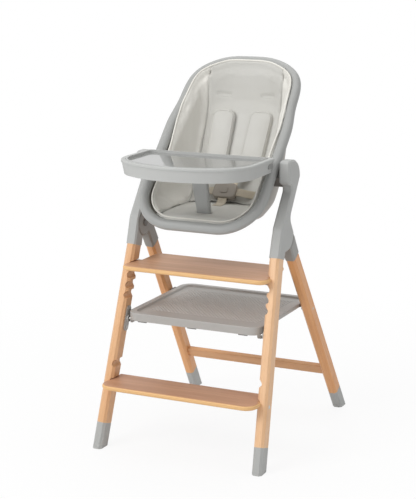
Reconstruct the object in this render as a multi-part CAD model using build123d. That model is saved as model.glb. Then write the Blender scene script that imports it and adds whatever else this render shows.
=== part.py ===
from build123d import *
import os
from math import atan2, cos, hypot, radians, sin, sqrt, tan

# Folding baby high chair: beech A-frame legs, grey side hubs, a reclining bucket seat with a tray,
# a footrest, a standing platform and a climbing step.
# Millimetres and degrees. +X is right in the front view, +Y is to the back, +Z is up.
# The chair faces -Y. Each side piece is drawn on the right (+X) and mirrored.

# Legs
LEG_SPREAD = 222.0  # leg centre from the middle plane, at the floor
LEG_SPLAY = 2.6
LEG_WIDTH = 26.0
LEG_CHAMFER = 6.0
FRONT_DEPTH = 40.0
FRONT_LEAN = 17.1
FRONT_TOE = -270.0  # front face of a front leg at the floor
FRONT_BOOT = 63.0
REAR_DEPTH = 36.0
REAR_LEAN = 32.8
REAR_BOOT = 71.0
FOLD_HEIGHT = 556.09  # fold pin above the floor
FRONT_SOCKET = 61.5  # fold pin beyond the leg's end, along the leg
REAR_SOCKET = 91.0
TENON_LENGTH = 20.0
TENON_INSET = 3.0
SOCKET_GAP = 0.1
BOOT_SOLE = 24.0
CROSSBAR_HEIGHT = 31.0
CROSSBAR_DEPTH = 13.0
CROSSBAR_AT = 150.0  # along the rear leg
CROSSBAR_CHAMFER = 2.0

# Side hubs
HUB_MARGIN = 1.0  # hub wider than the leg, each side
HUB_FOOT_DROP = 58.1  # below the fold pin, where the hub is centred on the legs
ARM_BEND_RISE = 21.9
WAIST_RISE = 41.9
PIVOT_RISE = 146.9  # seat pivot above and behind the fold pin
PIVOT_SETBACK = 55.1
HEAD_FRONT = 51.0  # the next six are measured from the seat pivot
HEAD_BACK = 24.0
HEAD_RISE = 38.0
HEAD_DROP = 21.0
ARM_NECK = 16.0
NECK_SLOPE = 4.0
ARM_ROUND = 40.0
NECK_ROUND = 14.0
CHIN_ROUND = 10.0
BROW_ROUND = 8.0
WAIST_ROUND = 22.0
HUB_CHAMFER = 4.0
CHEEK_MARGIN = 5.0
SWING_GAP = 1.0
FOLD_PIN_RADIUS = 5.0
FOLD_BUTTON_RADIUS = 10.0
FOLD_BUTTON_RISE = 3.0
FOLD_BUTTON_DEPTH = 1.5  # in its pocket, when it is not pressed
FOLD_BUTTON_TRAVEL = 2.5
FOLD_BUTTON_ROOM = 2.5  # behind the pressed button
RUN_GAP = 0.05  # running fit of a pin in a bore
SIDE_GAP = 0.3  # faces that slide past each other

# Footrest and step boards
BOARD_THICKNESS = 13.0
BOARD_ROUND = 6.0
GROOVE_RADIUS = 9.0
BOARD_ENTRY = 7.5  # how far a board's end goes into the groove
BOARD_STEP_GAP = 2.0  # the wide front stops this far ahead of the leg
FOOTREST_DROP = 92.6  # top of the footrest below the fold pin
FOOTREST_REACH = 39.6  # ahead of the legs
FOOTREST_DEPTH = 175.0
FOOTREST_FRONT_RADIUS = 24.0
FOOTREST_BACK_RADIUS = 14.0
FOOTREST_LEG_GAP = 1.5
FOOTREST_FLARE = 5.0  # the front is wider than the part in the grooves, each side
FOOTREST_NOTCHES = 4
FOOTREST_PITCH = 25.0
STEP_TOP = 173.0
STEP_REACH = 50.2
STEP_DEPTH = 112.0
STEP_RADIUS = 32.0
STEP_FLARE = 5.0
STEP_NOTCHES = 2
STEP_PITCH = 45.0
BRACKET_LENGTH = 44.0
BRACKET_DEPTH = 30.0
BRACKET_HEIGHT = 9.0
BRACKET_TIP = 3.0
STEP_BOLT_RADIUS = 3.0
STEP_BOLT_HEAD = 5.0
STEP_BOLT_HEAD_HEIGHT = 2.0

# Standing platform
PLATFORM_DROP = 214.1  # top of the platform below the fold pin
PLATFORM_HEIGHT = 21.0
PLATFORM_LEG_GAP = 6.5
PLATFORM_DEPTH = 348.0
PLATFORM_RADIUS = 34.0
PLATFORM_ROUND = 3.0
PLATFORM_WALL = 4.0
PLATFORM_DISH = 5.0
PLATFORM_RIM = 20.0
PLATFORM_EDGE = 9.0  # the sides are thinner than the front
PLATFORM_RIBS = 4
PLATFORM_RIB = 3.0
PLATFORM_RAIL_DROP = 10.0
PLATFORM_RAIL_WIDTH = 11.0
PLATFORM_RAIL_SETBACK = 8.0
PLATFORM_RAIL_LENGTH = 44.0
PLATFORM_PIN_DROP = 22.0  # hinge pin below the platform's top
PLATFORM_PIN_INSET = 24.6  # hinge pin behind the leg's front face
PLATFORM_PIN_SETBACK = 21.0  # hinge pin behind the platform's front
PLATFORM_PIN_RADIUS = 4.0
PLATFORM_PIN_ENTRY = 9.0
HINGE_PLATE = (22.0, 66.0, 2.5)
HINGE_ARM_RADIUS = 9.0
SCREW_RADIUS = 3.2
SCREW_HEIGHT = 1.6
SCREW_PITCH = 46.0
STUD_RADIUS = 5.0
STUD_DROP = 14.0  # stud below the platform's top
HOOK_LENGTH = 30.0
HOOK_LIP = 9.0
HOOK_ROUND = 4.0
HOOK_SWING = 88.0  # lift at which a hook has passed the rear leg
TAB_SIZE = (24.0, 2.5)
TAB_OFFSETS = (-140.0, 0.0, 140.0)

# Seat: the hoop-shaped rim lies in a plane that leans back, and the bucket is behind it.
# Places on the seat and the tray are measured from the seat pivot.
RIM_LEAN = 44.3
RIM_AHEAD = 161.9  # centre of the rim tube at the front
RIM_DROP = 123.5
RIM_HUB_GAP = 9.6
RIM_LENGTH = 527.6
RIM_CORNER = 100.0
RIM_SIDE = 300.0  # end of the straight sides
RIM_RADIUS = 13.5
# upper curve of every seat section, as shares of its half width and of its height above the sides
UPPER_CURVE = ((0.941, 0.3568), (0.843, 0.769), (0.441, 0.969))
BUCKET_WALL = 4.0
# depth behind the rim plane, narrower than the rim, front edge, back edge, corner and side sizes
BUCKET_ROWS = (
    (0.0, 6.3, 6.0, 521.0, 95.0, 294.0),
    (60.0, 9.3, 54.0, 432.0, 92.0, 205.0),
    (110.0, 22.3, 99.0, 293.0, 78.0, 98.0),
    (150.0, 54.3, 130.0, 203.0, 32.0, 42.0),
)
BUCKET_STATIONS = 9
LUG_RADIUS = 19.0
LUG_PIN_RADIUS = 7.0
LUG_PIN_LENGTH = 16.0
LUG_TAIL = 30.0
HANDLE_AT = 350.0  # up the rim plane
HANDLE_HOUSING = (96.0, 44.0, 13.0)
HANDLE_SIZE = (60.0, 16.0, 7.0)
HANDLE_TRAVEL = 8.0

# Padding and harness
PAD_GAP = 1.5
PAD_THICKNESS = 14.0
SEAT_PAD_DROP = 109.0  # side edges of the seat pad's top
SEAT_PAD_CROWN = 10.0
PAD_SEAM = 106.0
LIP_THICKNESS = 6.0  # of the padding's edge, which lies on the upper rim
LIP_START = 225.0  # up the rim plane
LIP_CLIMB = 0.12  # over the rim, for each millimetre further up
LIP_SINK = 3.0  # drawn into the rim, then trimmed to it
LIP_ROOT = 2.0  # degrees that the edge reaches down into the padding
SEAM_GAP = 1.0
WEB_WIDTH = 25.0
WEB_THICKNESS = 1.6
SHOULDER_X = 54.0
SHOULDER_PAD = (66.0, 150.0, 13.0)
SHOULDER_ROUND = 22.0
SHOULDER_LIFT = 5.5  # sleeve off the back pad
SHOULDER_SHARE = 0.45  # middle of the sleeve, up the back pad
SLOT_MARGIN = 1.5
STRAP_TAIL = 26.0
STRAP_LOW = -0.16
SLOT_SHARE = 0.9  # strap slots, up the back pad, behind the sleeves
BUCKLE_SIZE = (64.0, 44.0, 15.0)
BUCKLE_SETBACK = 38.0
BUCKLE_DROP = 66.0
BUCKLE_TILT = 50.0
BUCKLE_BUTTON = (20.0, 18.0, 3.0)
BUCKLE_TRAVEL = 2.0
TONGUE_LENGTH = 12.0
TONGUE_ENTRY = 9.0
TONGUE_WIDTH = 20.0
TONGUE_THICKNESS = 3.0
CROTCH_RUN = 16.0
CROTCH_DIP = 6.0
POST_AHEAD = 80.0
POST_DROP = 129.0
POST_SLANT = 42.0
POST_HEIGHT = 137.0
POST_WIDTHS = (34.0, 44.0)
POST_THICKNESS = 18.0

# Tray
TRAY_HALF = 177.0
TRAY_RISE = 45.0
TRAY_HEIGHT = 36.0
TRAY_AHEAD = 50.0
TRAY_DEPTH = 247.0
TRAY_ROUND = 3.0
TRAY_CORNER = 14.0
TRAY_NOSE = 125.0  # length of the rounded front
TRAY_SHOULDER = 103.0
TRAY_LIP = 6.5  # height of the band round the top
TRAY_LIP_OUT = 1.2
TRAY_TAPER = 11.0
TRAY_WALL = 3.0
TRAY_RIM = 11.0
TRAY_DISH = 7.0
LINER_GAP = 0.6
LINER_WALL = 2.0
LINER_LIP = 5.0
TRAY_ARM = (24.0, 10.0)
TRAY_ARM_INSET = 10.3  # arm's middle from the rim tube's middle
TRAY_ARM_RISE = 25.0
TRAY_ARM_AHEAD = 174.0
TRAY_BUTTON = (7.0, 26.0, 12.0)
TRAY_BUTTON_RISE = 1.5
TRAY_BUTTON_BACK = 27.0
TRAY_BUTTON_TRAVEL = 3.0

FAR = 900.0

os.makedirs("parts", exist_ok=True)


def tangent(angle):
    return tan(radians(angle))


def front_face(z):
    return FRONT_TOE + tangent(FRONT_LEAN) * z


def front_back(z):
    return front_face(z) + FRONT_DEPTH / cos(radians(FRONT_LEAN))


# The fold pin lies on the front leg's back face and on the rear leg's front face
FOLD_Z = FOLD_HEIGHT
FOLD_Y = front_back(FOLD_Z)
REAR_TOE = FOLD_Y + tangent(REAR_LEAN) * FOLD_Z


def rear_face(z):
    return REAR_TOE - tangent(REAR_LEAN) * z


def rear_back(z):
    return rear_face(z) + REAR_DEPTH / cos(radians(REAR_LEAN))


def leg_x(z):
    return LEG_SPREAD - tangent(LEG_SPLAY) * z


def leg_inner(z):
    return leg_x(z) - LEG_WIDTH / 2


HUB_X = leg_x(FOLD_Z - HUB_FOOT_DROP)
HUB_INNER = HUB_X - LEG_WIDTH / 2 - HUB_MARGIN
HUB_OUTER = HUB_X + LEG_WIDTH / 2 + HUB_MARGIN
CHEEK_RADIUS = REAR_DEPTH + CHEEK_MARGIN
FOLD_BUTTON_POCKET = FOLD_BUTTON_DEPTH + FOLD_BUTTON_TRAVEL + FOLD_BUTTON_ROOM
ARM_BEND = FOLD_Z + ARM_BEND_RISE
WAIST = FOLD_Z + WAIST_RISE
PIVOT_Y = FOLD_Y + PIVOT_SETBACK
PIVOT_Z = FOLD_Z + PIVOT_RISE
SEAT_PIVOT = (PIVOT_Y, PIVOT_Z)

FOOTREST_TOP = FOLD_Z - FOOTREST_DROP
FOOTREST_FRONT = front_face(FOOTREST_TOP - BOARD_THICKNESS) - FOOTREST_REACH
FOOTREST_BACK = FOOTREST_FRONT + FOOTREST_DEPTH
STEP_FRONT = front_face(STEP_TOP - BOARD_THICKNESS) - STEP_REACH
STEP_BACK = STEP_FRONT + STEP_DEPTH

PLATFORM_TOP = FOLD_Z - PLATFORM_DROP
PLATFORM_HALF = leg_inner(PLATFORM_TOP) - PLATFORM_LEG_GAP
PIN_Z = PLATFORM_TOP - PLATFORM_PIN_DROP
PLATFORM_PIN = (front_face(PIN_Z) + PLATFORM_PIN_INSET, PIN_Z)
PLATFORM_FRONT = PLATFORM_PIN[0] - PLATFORM_PIN_SETBACK
PLATFORM_BACK = PLATFORM_FRONT + PLATFORM_DEPTH
PLATFORM_RAIL_FRONT = PLATFORM_FRONT + PLATFORM_RAIL_SETBACK
PLATFORM_RAIL_BACK = PLATFORM_RAIL_FRONT + PLATFORM_RAIL_LENGTH
STUD_HEIGHT = PLATFORM_TOP - STUD_DROP

RIM_FOOT = (PIVOT_Y - RIM_AHEAD, PIVOT_Z - RIM_DROP)
RIM_HALF = HUB_INNER - RIM_RADIUS - RIM_HUB_GAP
BUCKET = [(row[0], RIM_HALF - row[1]) + row[2:] for row in BUCKET_ROWS]
SEAT_PAD_EDGE = PIVOT_Z - SEAT_PAD_DROP
SEAT_PAD_TOP = SEAT_PAD_EDGE + SEAT_PAD_CROWN
BUCKLE_AT = (PIVOT_Y + BUCKLE_SETBACK, PIVOT_Z - BUCKLE_DROP)
POST_FOOT = (PIVOT_Y - POST_AHEAD, PIVOT_Z - POST_DROP)
POST_TOP = (POST_FOOT[0] - POST_SLANT, POST_FOOT[1] + POST_HEIGHT)

TRAY_TOP = PIVOT_Z + TRAY_RISE
TRAY_BACK = PIVOT_Y - TRAY_AHEAD
TRAY_FRONT = TRAY_BACK - TRAY_DEPTH
TRAY_SIDE = TRAY_DEPTH - TRAY_NOSE
TRAY_ARM_X = RIM_HALF - TRAY_ARM_INSET
TRAY_ARM_TOP = PIVOT_Z + TRAY_ARM_RISE
TRAY_ARM_FRONT = PIVOT_Y - TRAY_ARM_AHEAD


def leg_plane(toe, depth, lean):
    """Plane across a right leg at the floor, its normal up the leg."""
    centre = toe + depth / 2 / cos(radians(lean))
    axis = (-tangent(LEG_SPLAY), tangent(lean), 1)
    return Plane(origin=(LEG_SPREAD, centre, 0), x_dir=(1, 0, 0), z_dir=axis)


FRONT_PLANE = leg_plane(FRONT_TOE, FRONT_DEPTH, FRONT_LEAN)
REAR_PLANE = leg_plane(REAR_TOE, REAR_DEPTH, -REAR_LEAN)
FOLD_POINT = Vector(leg_x(FOLD_Z), FOLD_Y, FOLD_Z)
FRONT_LENGTH = FRONT_PLANE.to_local_coords(FOLD_POINT).Z - FRONT_SOCKET
REAR_LENGTH = REAR_PLANE.to_local_coords(FOLD_POINT).Z - REAR_SOCKET
ABOVE_FLOOR = Pos(0, 0, FAR / 2) * Box(2 * FAR, 2 * FAR, FAR)


def leg_bar(plane, depth, inset, low, high):
    """A chamfered bar along a leg, from one distance above the floor to another."""
    outline = Rectangle(LEG_WIDTH - 2 * inset, depth - 2 * inset)
    outline = chamfer(outline.vertices(), LEG_CHAMFER - inset)
    return extrude(plane.offset(low) * outline, high - low)


def side_plate(sketch, low, high):
    """A sketch drawn in Y and Z, made into a plate from one X to another."""
    return extrude(Plane.YZ.offset(low) * sketch, high - low)


def side_rod(y, z, radius, low, high):
    return side_plate(Pos(y, z) * Circle(radius), low, high)


def left_of(part):
    return mirror(part, about=Plane.YZ)


def corner_near(sketch, y, z):
    return sketch.vertices().sort_by_distance((y, z, 0))[0]


def groove_heights():
    """Middle heights of the footrest's and the step's grooves."""
    footrest = FOOTREST_TOP - BOARD_THICKNESS / 2
    step = STEP_TOP - BOARD_THICKNESS / 2
    heights = [footrest - FOOTREST_PITCH * k for k in range(FOOTREST_NOTCHES)]
    return heights + [step + STEP_PITCH * k for k in range(STEP_NOTCHES)]


def front_leg():
    leg = leg_bar(FRONT_PLANE, FRONT_DEPTH, 0, FRONT_BOOT, FRONT_LENGTH)
    inset = TENON_INSET + SOCKET_GAP
    leg += leg_bar(FRONT_PLANE, FRONT_DEPTH, inset, BOOT_SOLE, FRONT_LENGTH + TENON_LENGTH)
    for z in groove_heights():
        middle = (front_face(z) + front_back(z)) / 2
        groove = Pos(leg_inner(z), middle, z) * Rot(90, 0, 0) * Cylinder(GROOVE_RADIUS, 2 * FRONT_DEPTH)
        leg -= groove
    return leg - step_bolt_holes()


def rear_leg():
    leg = leg_bar(REAR_PLANE, REAR_DEPTH, 0, REAR_BOOT, REAR_LENGTH)
    inset = TENON_INSET + SOCKET_GAP
    leg += leg_bar(REAR_PLANE, REAR_DEPTH, inset, BOOT_SOLE, REAR_LENGTH + TENON_LENGTH)
    return leg - stud_rod(STUD_RADIUS + RUN_GAP)


def boot(plane, depth, top):
    cap = leg_bar(plane, depth, 0, -depth, top) & ABOVE_FLOOR
    return cap - leg_bar(plane, depth, TENON_INSET, BOOT_SOLE, top + 1)


def crossbar():
    bar = Rectangle(CROSSBAR_DEPTH, CROSSBAR_HEIGHT)
    bar = chamfer(bar.vertices(), CROSSBAR_CHAMFER)
    centre = REAR_PLANE.offset(CROSSBAR_AT).origin
    lean = radians(REAR_LEAN)
    across = Plane(origin=(0, centre.Y, centre.Z), x_dir=(0, cos(lean), sin(lean)), z_dir=(1, 0, 0))
    half = extrude(across * bar, LEG_SPREAD)
    half -= leg_bar(REAR_PLANE, REAR_DEPTH, 0, REAR_BOOT, REAR_LENGTH)
    half = half.solids().sort_by(Axis.X)[0]
    return Part() + half + left_of(half)


def hub_outline(with_cheek):
    """Side view of a hub: leg socket, waist, arm and hammer-shaped head, with the fold cheek if asked."""
    y0, z0 = SEAT_PIVOT
    low = FOLD_Z - 3 * TENON_LENGTH
    top_start = (y0 - ARM_NECK, z0 + HEAD_RISE)
    back = (y0 + HEAD_BACK, z0 - HEAD_DROP / 2)
    bulge = HEAD_BACK - (HEAD_BACK + ARM_NECK) * (1 - cos(radians(45)))
    knee = (y0 + bulge, z0 + HEAD_RISE - (HEAD_RISE + HEAD_DROP / 2) * (1 - sin(radians(45))))
    waist = (rear_back(WAIST), WAIST)
    points = [
        (front_face(low), low),
        (front_face(ARM_BEND), ARM_BEND),
        (y0 - ARM_NECK, z0 - HEAD_DROP - NECK_SLOPE),
        (y0 - HEAD_FRONT, z0 - HEAD_DROP),
        (y0 - HEAD_FRONT, z0 + HEAD_RISE),
        top_start,
    ]
    lines = [Line(a, b) for a, b in zip(points, points[1:])]
    lines.append(ThreePointArc(top_start, knee, back))
    lines.append(Line(back, waist))
    if with_cheek:
        drop = sqrt(CHEEK_RADIUS**2 - REAR_DEPTH**2)
        lean = radians(REAR_LEAN)
        cheek = (FOLD_Y + REAR_DEPTH * cos(lean) + drop * sin(lean),
                 FOLD_Z + REAR_DEPTH * sin(lean) - drop * cos(lean))
        under = (FOLD_Y + CHEEK_RADIUS * sin(lean), FOLD_Z - CHEEK_RADIUS * cos(lean))
        lean = radians(FRONT_LEAN)
        toe = (FOLD_Y - CHEEK_RADIUS * sin(lean), FOLD_Z - CHEEK_RADIUS * cos(lean))
        lines.append(Line(waist, cheek))
        lines.append(ThreePointArc(cheek, under, toe))
        lines.append(Line(toe, (front_back(low), low)))
    else:
        lines.append(Line(waist, (FOLD_Y, FOLD_Z)))
        lines.append(Line((FOLD_Y, FOLD_Z), (front_back(low), low)))
    lines.append(Line((front_back(low), low), points[0]))
    sketch = make_face(lines)
    if with_cheek:
        sketch = fillet(corner_near(sketch, *toe), HUB_CHAMFER)
    sketch = fillet(corner_near(sketch, *points[1]), ARM_ROUND)
    sketch = fillet(corner_near(sketch, *points[2]), NECK_ROUND)
    sketch = fillet(corner_near(sketch, *points[3]), CHIN_ROUND)
    sketch = fillet(corner_near(sketch, *points[4]), BROW_ROUND)
    return fillet(corner_near(sketch, *waist), WAIST_ROUND)


def hub():
    outer = side_plate(hub_outline(True), HUB_X, HUB_OUTER)
    outer = chamfer(outer.faces().sort_by(Axis.X)[-1].edges(), HUB_CHAMFER)
    inner = side_plate(hub_outline(False), HUB_INNER, HUB_X)
    inner = chamfer(inner.faces().sort_by(Axis.X)[0].edges(), HUB_CHAMFER)
    inner -= side_rod(FOLD_Y, FOLD_Z, REAR_DEPTH + SWING_GAP, HUB_INNER - 1, HUB_X)
    casting = outer + inner
    casting = split(casting, bisect_by=FRONT_PLANE.offset(FRONT_LENGTH), keep=Keep.TOP)
    casting -= leg_bar(FRONT_PLANE, FRONT_DEPTH, TENON_INSET, FRONT_LENGTH - 1, FRONT_LENGTH + TENON_LENGTH)
    casting -= side_rod(FOLD_Y, FOLD_Z, FOLD_PIN_RADIUS + RUN_GAP, HUB_X - 1, HUB_OUTER - HUB_CHAMFER)
    casting -= side_rod(*SEAT_PIVOT, LUG_PIN_RADIUS + RUN_GAP, HUB_INNER - 1, HUB_INNER + LUG_PIN_LENGTH)
    return casting


def rear_socket():
    """Socket on the rear leg's top, with the fold knuckle on its inner half."""
    lean = radians(REAR_LEAN)
    reach = 2 * REAR_DEPTH + TENON_LENGTH
    foot = Vector(FOLD_Y, FOLD_Z)
    down = Vector(sin(lean), -cos(lean)) * reach
    over = Vector(cos(lean), sin(lean)) * REAR_DEPTH
    band = make_face(Polyline(foot, foot + over, foot + over + down, foot + down, close=True))
    knuckle = Pos(FOLD_Y, FOLD_Z) * Circle(REAR_DEPTH)
    inner = side_plate(band + knuckle, HUB_INNER, HUB_X - SIDE_GAP)
    swing = Pos(FOLD_Y, FOLD_Z) * Circle(CHEEK_RADIUS + SWING_GAP)
    outer = side_plate(band - swing, HUB_X - SIDE_GAP, HUB_OUTER)
    outer = chamfer(outer.faces().sort_by(Axis.X)[-1].edges(), HUB_CHAMFER)
    inner = chamfer(inner.faces().sort_by(Axis.X)[0].edges(), HUB_CHAMFER)
    socket = split(outer + inner, bisect_by=REAR_PLANE.offset(REAR_LENGTH), keep=Keep.TOP)
    socket -= leg_bar(REAR_PLANE, REAR_DEPTH, TENON_INSET, REAR_LENGTH - 1, REAR_LENGTH + TENON_LENGTH)
    socket -= side_rod(FOLD_Y, FOLD_Z, FOLD_PIN_RADIUS + RUN_GAP, HUB_INNER - 1, HUB_X)
    pocket = HUB_INNER + FOLD_BUTTON_POCKET
    return socket - side_rod(FOLD_Y, FOLD_Z, FOLD_BUTTON_RADIUS + RUN_GAP, HUB_INNER - 1, pocket)


def fold_pin():
    pocket = HUB_INNER + FOLD_BUTTON_POCKET
    return side_rod(FOLD_Y, FOLD_Z, FOLD_PIN_RADIUS, pocket, HUB_OUTER - HUB_CHAMFER)


def fold_button():
    low, high = HUB_INNER - FOLD_BUTTON_RISE, HUB_INNER + FOLD_BUTTON_DEPTH
    button = side_rod(FOLD_Y, FOLD_Z, FOLD_BUTTON_RADIUS, low, high)
    return fillet(button.faces().sort_by(Axis.X)[0].edges(), FOLD_BUTTON_RISE / 2)


def rounded_board(outline):
    board = extrude(outline, BOARD_THICKNESS)
    rims = board.faces().sort_by(Axis.Z)[0].edges() + board.faces().sort_by(Axis.Z)[-1].edges()
    return fillet(rims, BOARD_ROUND)


def footrest_board():
    middle = FOOTREST_TOP - BOARD_THICKNESS / 2
    half = leg_inner(middle) + BOARD_ENTRY
    waist = leg_inner(FOLD_Z - REAR_DEPTH) - HUB_MARGIN - FOOTREST_LEG_GAP
    neck = front_back(FOOTREST_TOP) + BOARD_STEP_GAP
    wide = half + FOOTREST_FLARE
    step = front_face(FOOTREST_TOP - BOARD_THICKNESS) - BOARD_STEP_GAP
    corners = [(wide, FOOTREST_FRONT), (wide, step), (half, step)]
    corners += [(half, neck), (waist, neck), (waist, FOOTREST_BACK)]
    points = corners + [(-x, y) for x, y in reversed(corners)]
    plan = make_face(Polyline(*points, close=True))
    for side in (1, -1):
        plan = fillet(corner_near(plan, side * wide, FOOTREST_FRONT), FOOTREST_FRONT_RADIUS)
        plan = fillet(corner_near(plan, side * half, neck), BOARD_ROUND)
        plan = fillet(corner_near(plan, side * waist, FOOTREST_BACK), FOOTREST_BACK_RADIUS)
    return Pos(0, 0, FOOTREST_TOP - BOARD_THICKNESS) * rounded_board(plan)


def step_board():
    half = leg_inner(STEP_TOP - BOARD_THICKNESS / 2) + BOARD_ENTRY
    wide = half + STEP_FLARE
    step = front_face(STEP_TOP - BOARD_THICKNESS) - BOARD_STEP_GAP
    corners = [(wide, STEP_FRONT), (wide, step), (half, step), (half, STEP_BACK)]
    points = corners + [(-x, y) for x, y in reversed(corners)]
    plan = make_face(Polyline(*points, close=True))
    for side in (1, -1):
        plan = fillet(corner_near(plan, side * wide, STEP_FRONT), STEP_RADIUS)
        plan = fillet(corner_near(plan, side * half, STEP_BACK), BOARD_ROUND)
    return Pos(0, 0, STEP_TOP - BOARD_THICKNESS) * rounded_board(plan)


def board_bracket(top):
    """Grey block under a board's right end, against the leg's inner face."""
    base = top - BOARD_THICKNESS
    y = (front_face(base) + front_back(base)) / 2
    inner = leg_inner(base) - 2 * SIDE_GAP
    low = base - BRACKET_HEIGHT
    block = make_face(Polyline((inner - BRACKET_LENGTH, base), (inner - BRACKET_LENGTH, base - BRACKET_TIP),
                               (inner, low), (inner, base), close=True))
    block = extrude(Plane.XZ.offset(-y) * block, BRACKET_DEPTH / 2, both=True)
    return block


def step_bolt_axis():
    z = STEP_TOP - BOARD_THICKNESS - BRACKET_HEIGHT / 2
    return (front_face(z) + front_back(z)) / 2, z


def step_bolt_holes():
    y, z = step_bolt_axis()
    hole = side_rod(y, z, STEP_BOLT_RADIUS + RUN_GAP, leg_inner(z) - LEG_WIDTH, leg_x(z) + LEG_WIDTH)
    seat = leg_x(z) + LEG_WIDTH / 2 - STEP_BOLT_HEAD_HEIGHT
    return hole + side_rod(y, z, STEP_BOLT_HEAD + SOCKET_GAP, seat, leg_x(z) + LEG_WIDTH)


def step_bolt():
    y, z = step_bolt_axis()
    face = leg_x(z) + LEG_WIDTH / 2
    shank_end = face - STEP_BOLT_HEAD_HEIGHT / 2
    bolt = side_rod(y, z, STEP_BOLT_RADIUS, leg_inner(z) - BRACKET_LENGTH / 2, shank_end)
    return bolt + side_rod(y, z, STEP_BOLT_HEAD, face - STEP_BOLT_HEAD_HEIGHT, face)


def platform_half_outline():
    plan = Pos(0, (PLATFORM_FRONT + PLATFORM_BACK) / 2)
    plan = plan * Rectangle(2 * PLATFORM_HALF, PLATFORM_BACK - PLATFORM_FRONT)
    return fillet(plan.vertices(), PLATFORM_RADIUS)


def platform():
    """Moulded deck: raised rim round a dished floor, hollow and ribbed underneath."""
    base = PLATFORM_TOP - PLATFORM_HEIGHT
    plan = platform_half_outline()
    deck = Pos(0, 0, base) * extrude(plan, PLATFORM_HEIGHT)
    deck = fillet(deck.faces().sort_by(Axis.Z)[-1].edges(), PLATFORM_ROUND)
    floor_top = PLATFORM_TOP - PLATFORM_DISH
    dish = extrude(Pos(0, 0, floor_top) * offset(plan, -PLATFORM_RIM), 2 * PLATFORM_DISH, taper=-30)
    inside = PLATFORM_HEIGHT - PLATFORM_DISH - PLATFORM_WALL
    hollow = Pos(0, 0, base - 1) * extrude(offset(plan, -PLATFORM_WALL), inside + 1)
    deck = deck - dish - hollow
    span = PLATFORM_BACK - PLATFORM_FRONT
    for k in range(PLATFORM_RIBS):
        y = PLATFORM_FRONT + span * (k + 1) / (PLATFORM_RIBS + 1)
        rib = Pos(0, y, base + inside / 2) * Box(2 * PLATFORM_HALF - PLATFORM_WALL, PLATFORM_RIB, inside)
        deck += rib
    for side in (1, -1):
        cut = Box(2 * PLATFORM_RIM, PLATFORM_BACK - PLATFORM_RAIL_BACK, PLATFORM_HEIGHT,
                  align=(Align.CENTER, Align.MIN, Align.MAX))
        deck -= Pos(side * PLATFORM_HALF, PLATFORM_RAIL_BACK, PLATFORM_TOP - PLATFORM_EDGE) * cut
    rail_length = PLATFORM_RAIL_BACK - PLATFORM_RAIL_FRONT
    rail_height = inside + PLATFORM_RAIL_DROP
    y, z = PLATFORM_PIN
    for side in (1, -1):
        x = side * (PLATFORM_HALF - PLATFORM_RAIL_WIDTH / 2)
        rail = Box(PLATFORM_RAIL_WIDTH, rail_length, rail_height)
        rail = fillet(rail.edges().filter_by(Axis.X).sort_by(Axis.Z)[:2], PLATFORM_RAIL_DROP)
        rail_z = base - PLATFORM_RAIL_DROP + rail_height / 2
        rail = Pos(x, PLATFORM_RAIL_FRONT + rail_length / 2, rail_z) * rail
        deck += rail & extrude(Pos(0, 0, base - PLATFORM_RAIL_DROP) * plan, PLATFORM_HEIGHT)
        low, high = sorted((side * (PLATFORM_HALF - PLATFORM_PIN_ENTRY), side * (PLATFORM_HALF + 1)))
        deck -= side_rod(y, z, PLATFORM_PIN_RADIUS + RUN_GAP, low, high)
    return deck


def hinge_plane():
    """Plane on the right front leg's inner face at the platform pin, its normal towards the middle."""
    y, z = PLATFORM_PIN
    local = FRONT_PLANE.to_local_coords(Vector(leg_inner(z), y, z))
    middle = FRONT_PLANE.from_local_coords(Vector(-LEG_WIDTH / 2, local.Y, local.Z))
    return Plane(origin=middle, x_dir=FRONT_PLANE.z_dir, z_dir=FRONT_PLANE.x_dir * -1)


def hinge_plate():
    width, length, thickness = HINGE_PLATE
    on_leg = hinge_plane()
    plate = extrude(on_leg * RectangleRounded(length, width, width / 2 - 1), thickness)
    y, z = PLATFORM_PIN
    arm = side_rod(y, z, HINGE_ARM_RADIUS, PLATFORM_HALF + SIDE_GAP, leg_inner(z))
    arm -= extrude(on_leg * Rectangle(2 * length, 2 * length), -length)
    plate += arm
    return plate - side_rod(y, z, PLATFORM_PIN_RADIUS, PLATFORM_HALF - 1, leg_inner(z) + LEG_WIDTH)


def hinge_pin():
    y, z = PLATFORM_PIN
    pin = side_rod(y, z, PLATFORM_PIN_RADIUS, PLATFORM_HALF - PLATFORM_PIN_ENTRY + 1, leg_inner(z))
    return pin - extrude(hinge_plane() * Rectangle(FAR, FAR), -FAR)


def hinge_screws():
    thickness = HINGE_PLATE[2]
    screw = extrude(hinge_plane().offset(thickness) * Circle(SCREW_RADIUS), SCREW_HEIGHT)
    along = FRONT_PLANE.z_dir * (SCREW_PITCH / 2)
    return [Pos(*(along * side)) * screw for side in (1, -1)]


def stud_y():
    return (rear_face(STUD_HEIGHT) + rear_back(STUD_HEIGHT)) / 2


def stud_rod(radius):
    outer = leg_x(STUD_HEIGHT) + LEG_WIDTH / 2
    return side_rod(stud_y(), STUD_HEIGHT, radius, PLATFORM_HALF + 2 * SIDE_GAP, outer)


def platform_hook():
    """Dark ledge on the platform's side that rests on the rear leg's stud, with a lip behind the stud."""
    outer = leg_inner(STUD_HEIGHT + HOOK_SWING) - SIDE_GAP
    seat = STUD_HEIGHT + STUD_RADIUS + SIDE_GAP
    rise = PLATFORM_TOP - seat
    ledge = Pos(stud_y(), seat + rise / 2) * Rectangle(HOOK_LENGTH, rise)
    ledge = fillet(ledge.vertices().sort_by(Axis.Y)[-2:], HOOK_ROUND)
    front = stud_y() + STUD_RADIUS + 2 * SIDE_GAP
    back = stud_y() + HOOK_LENGTH / 2
    lip = Pos((front + back) / 2, seat - HOOK_LIP / 2) * Rectangle(back - front, HOOK_LIP)
    return [side_plate(part, PLATFORM_HALF, outer) for part in (ledge, lip)]


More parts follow.
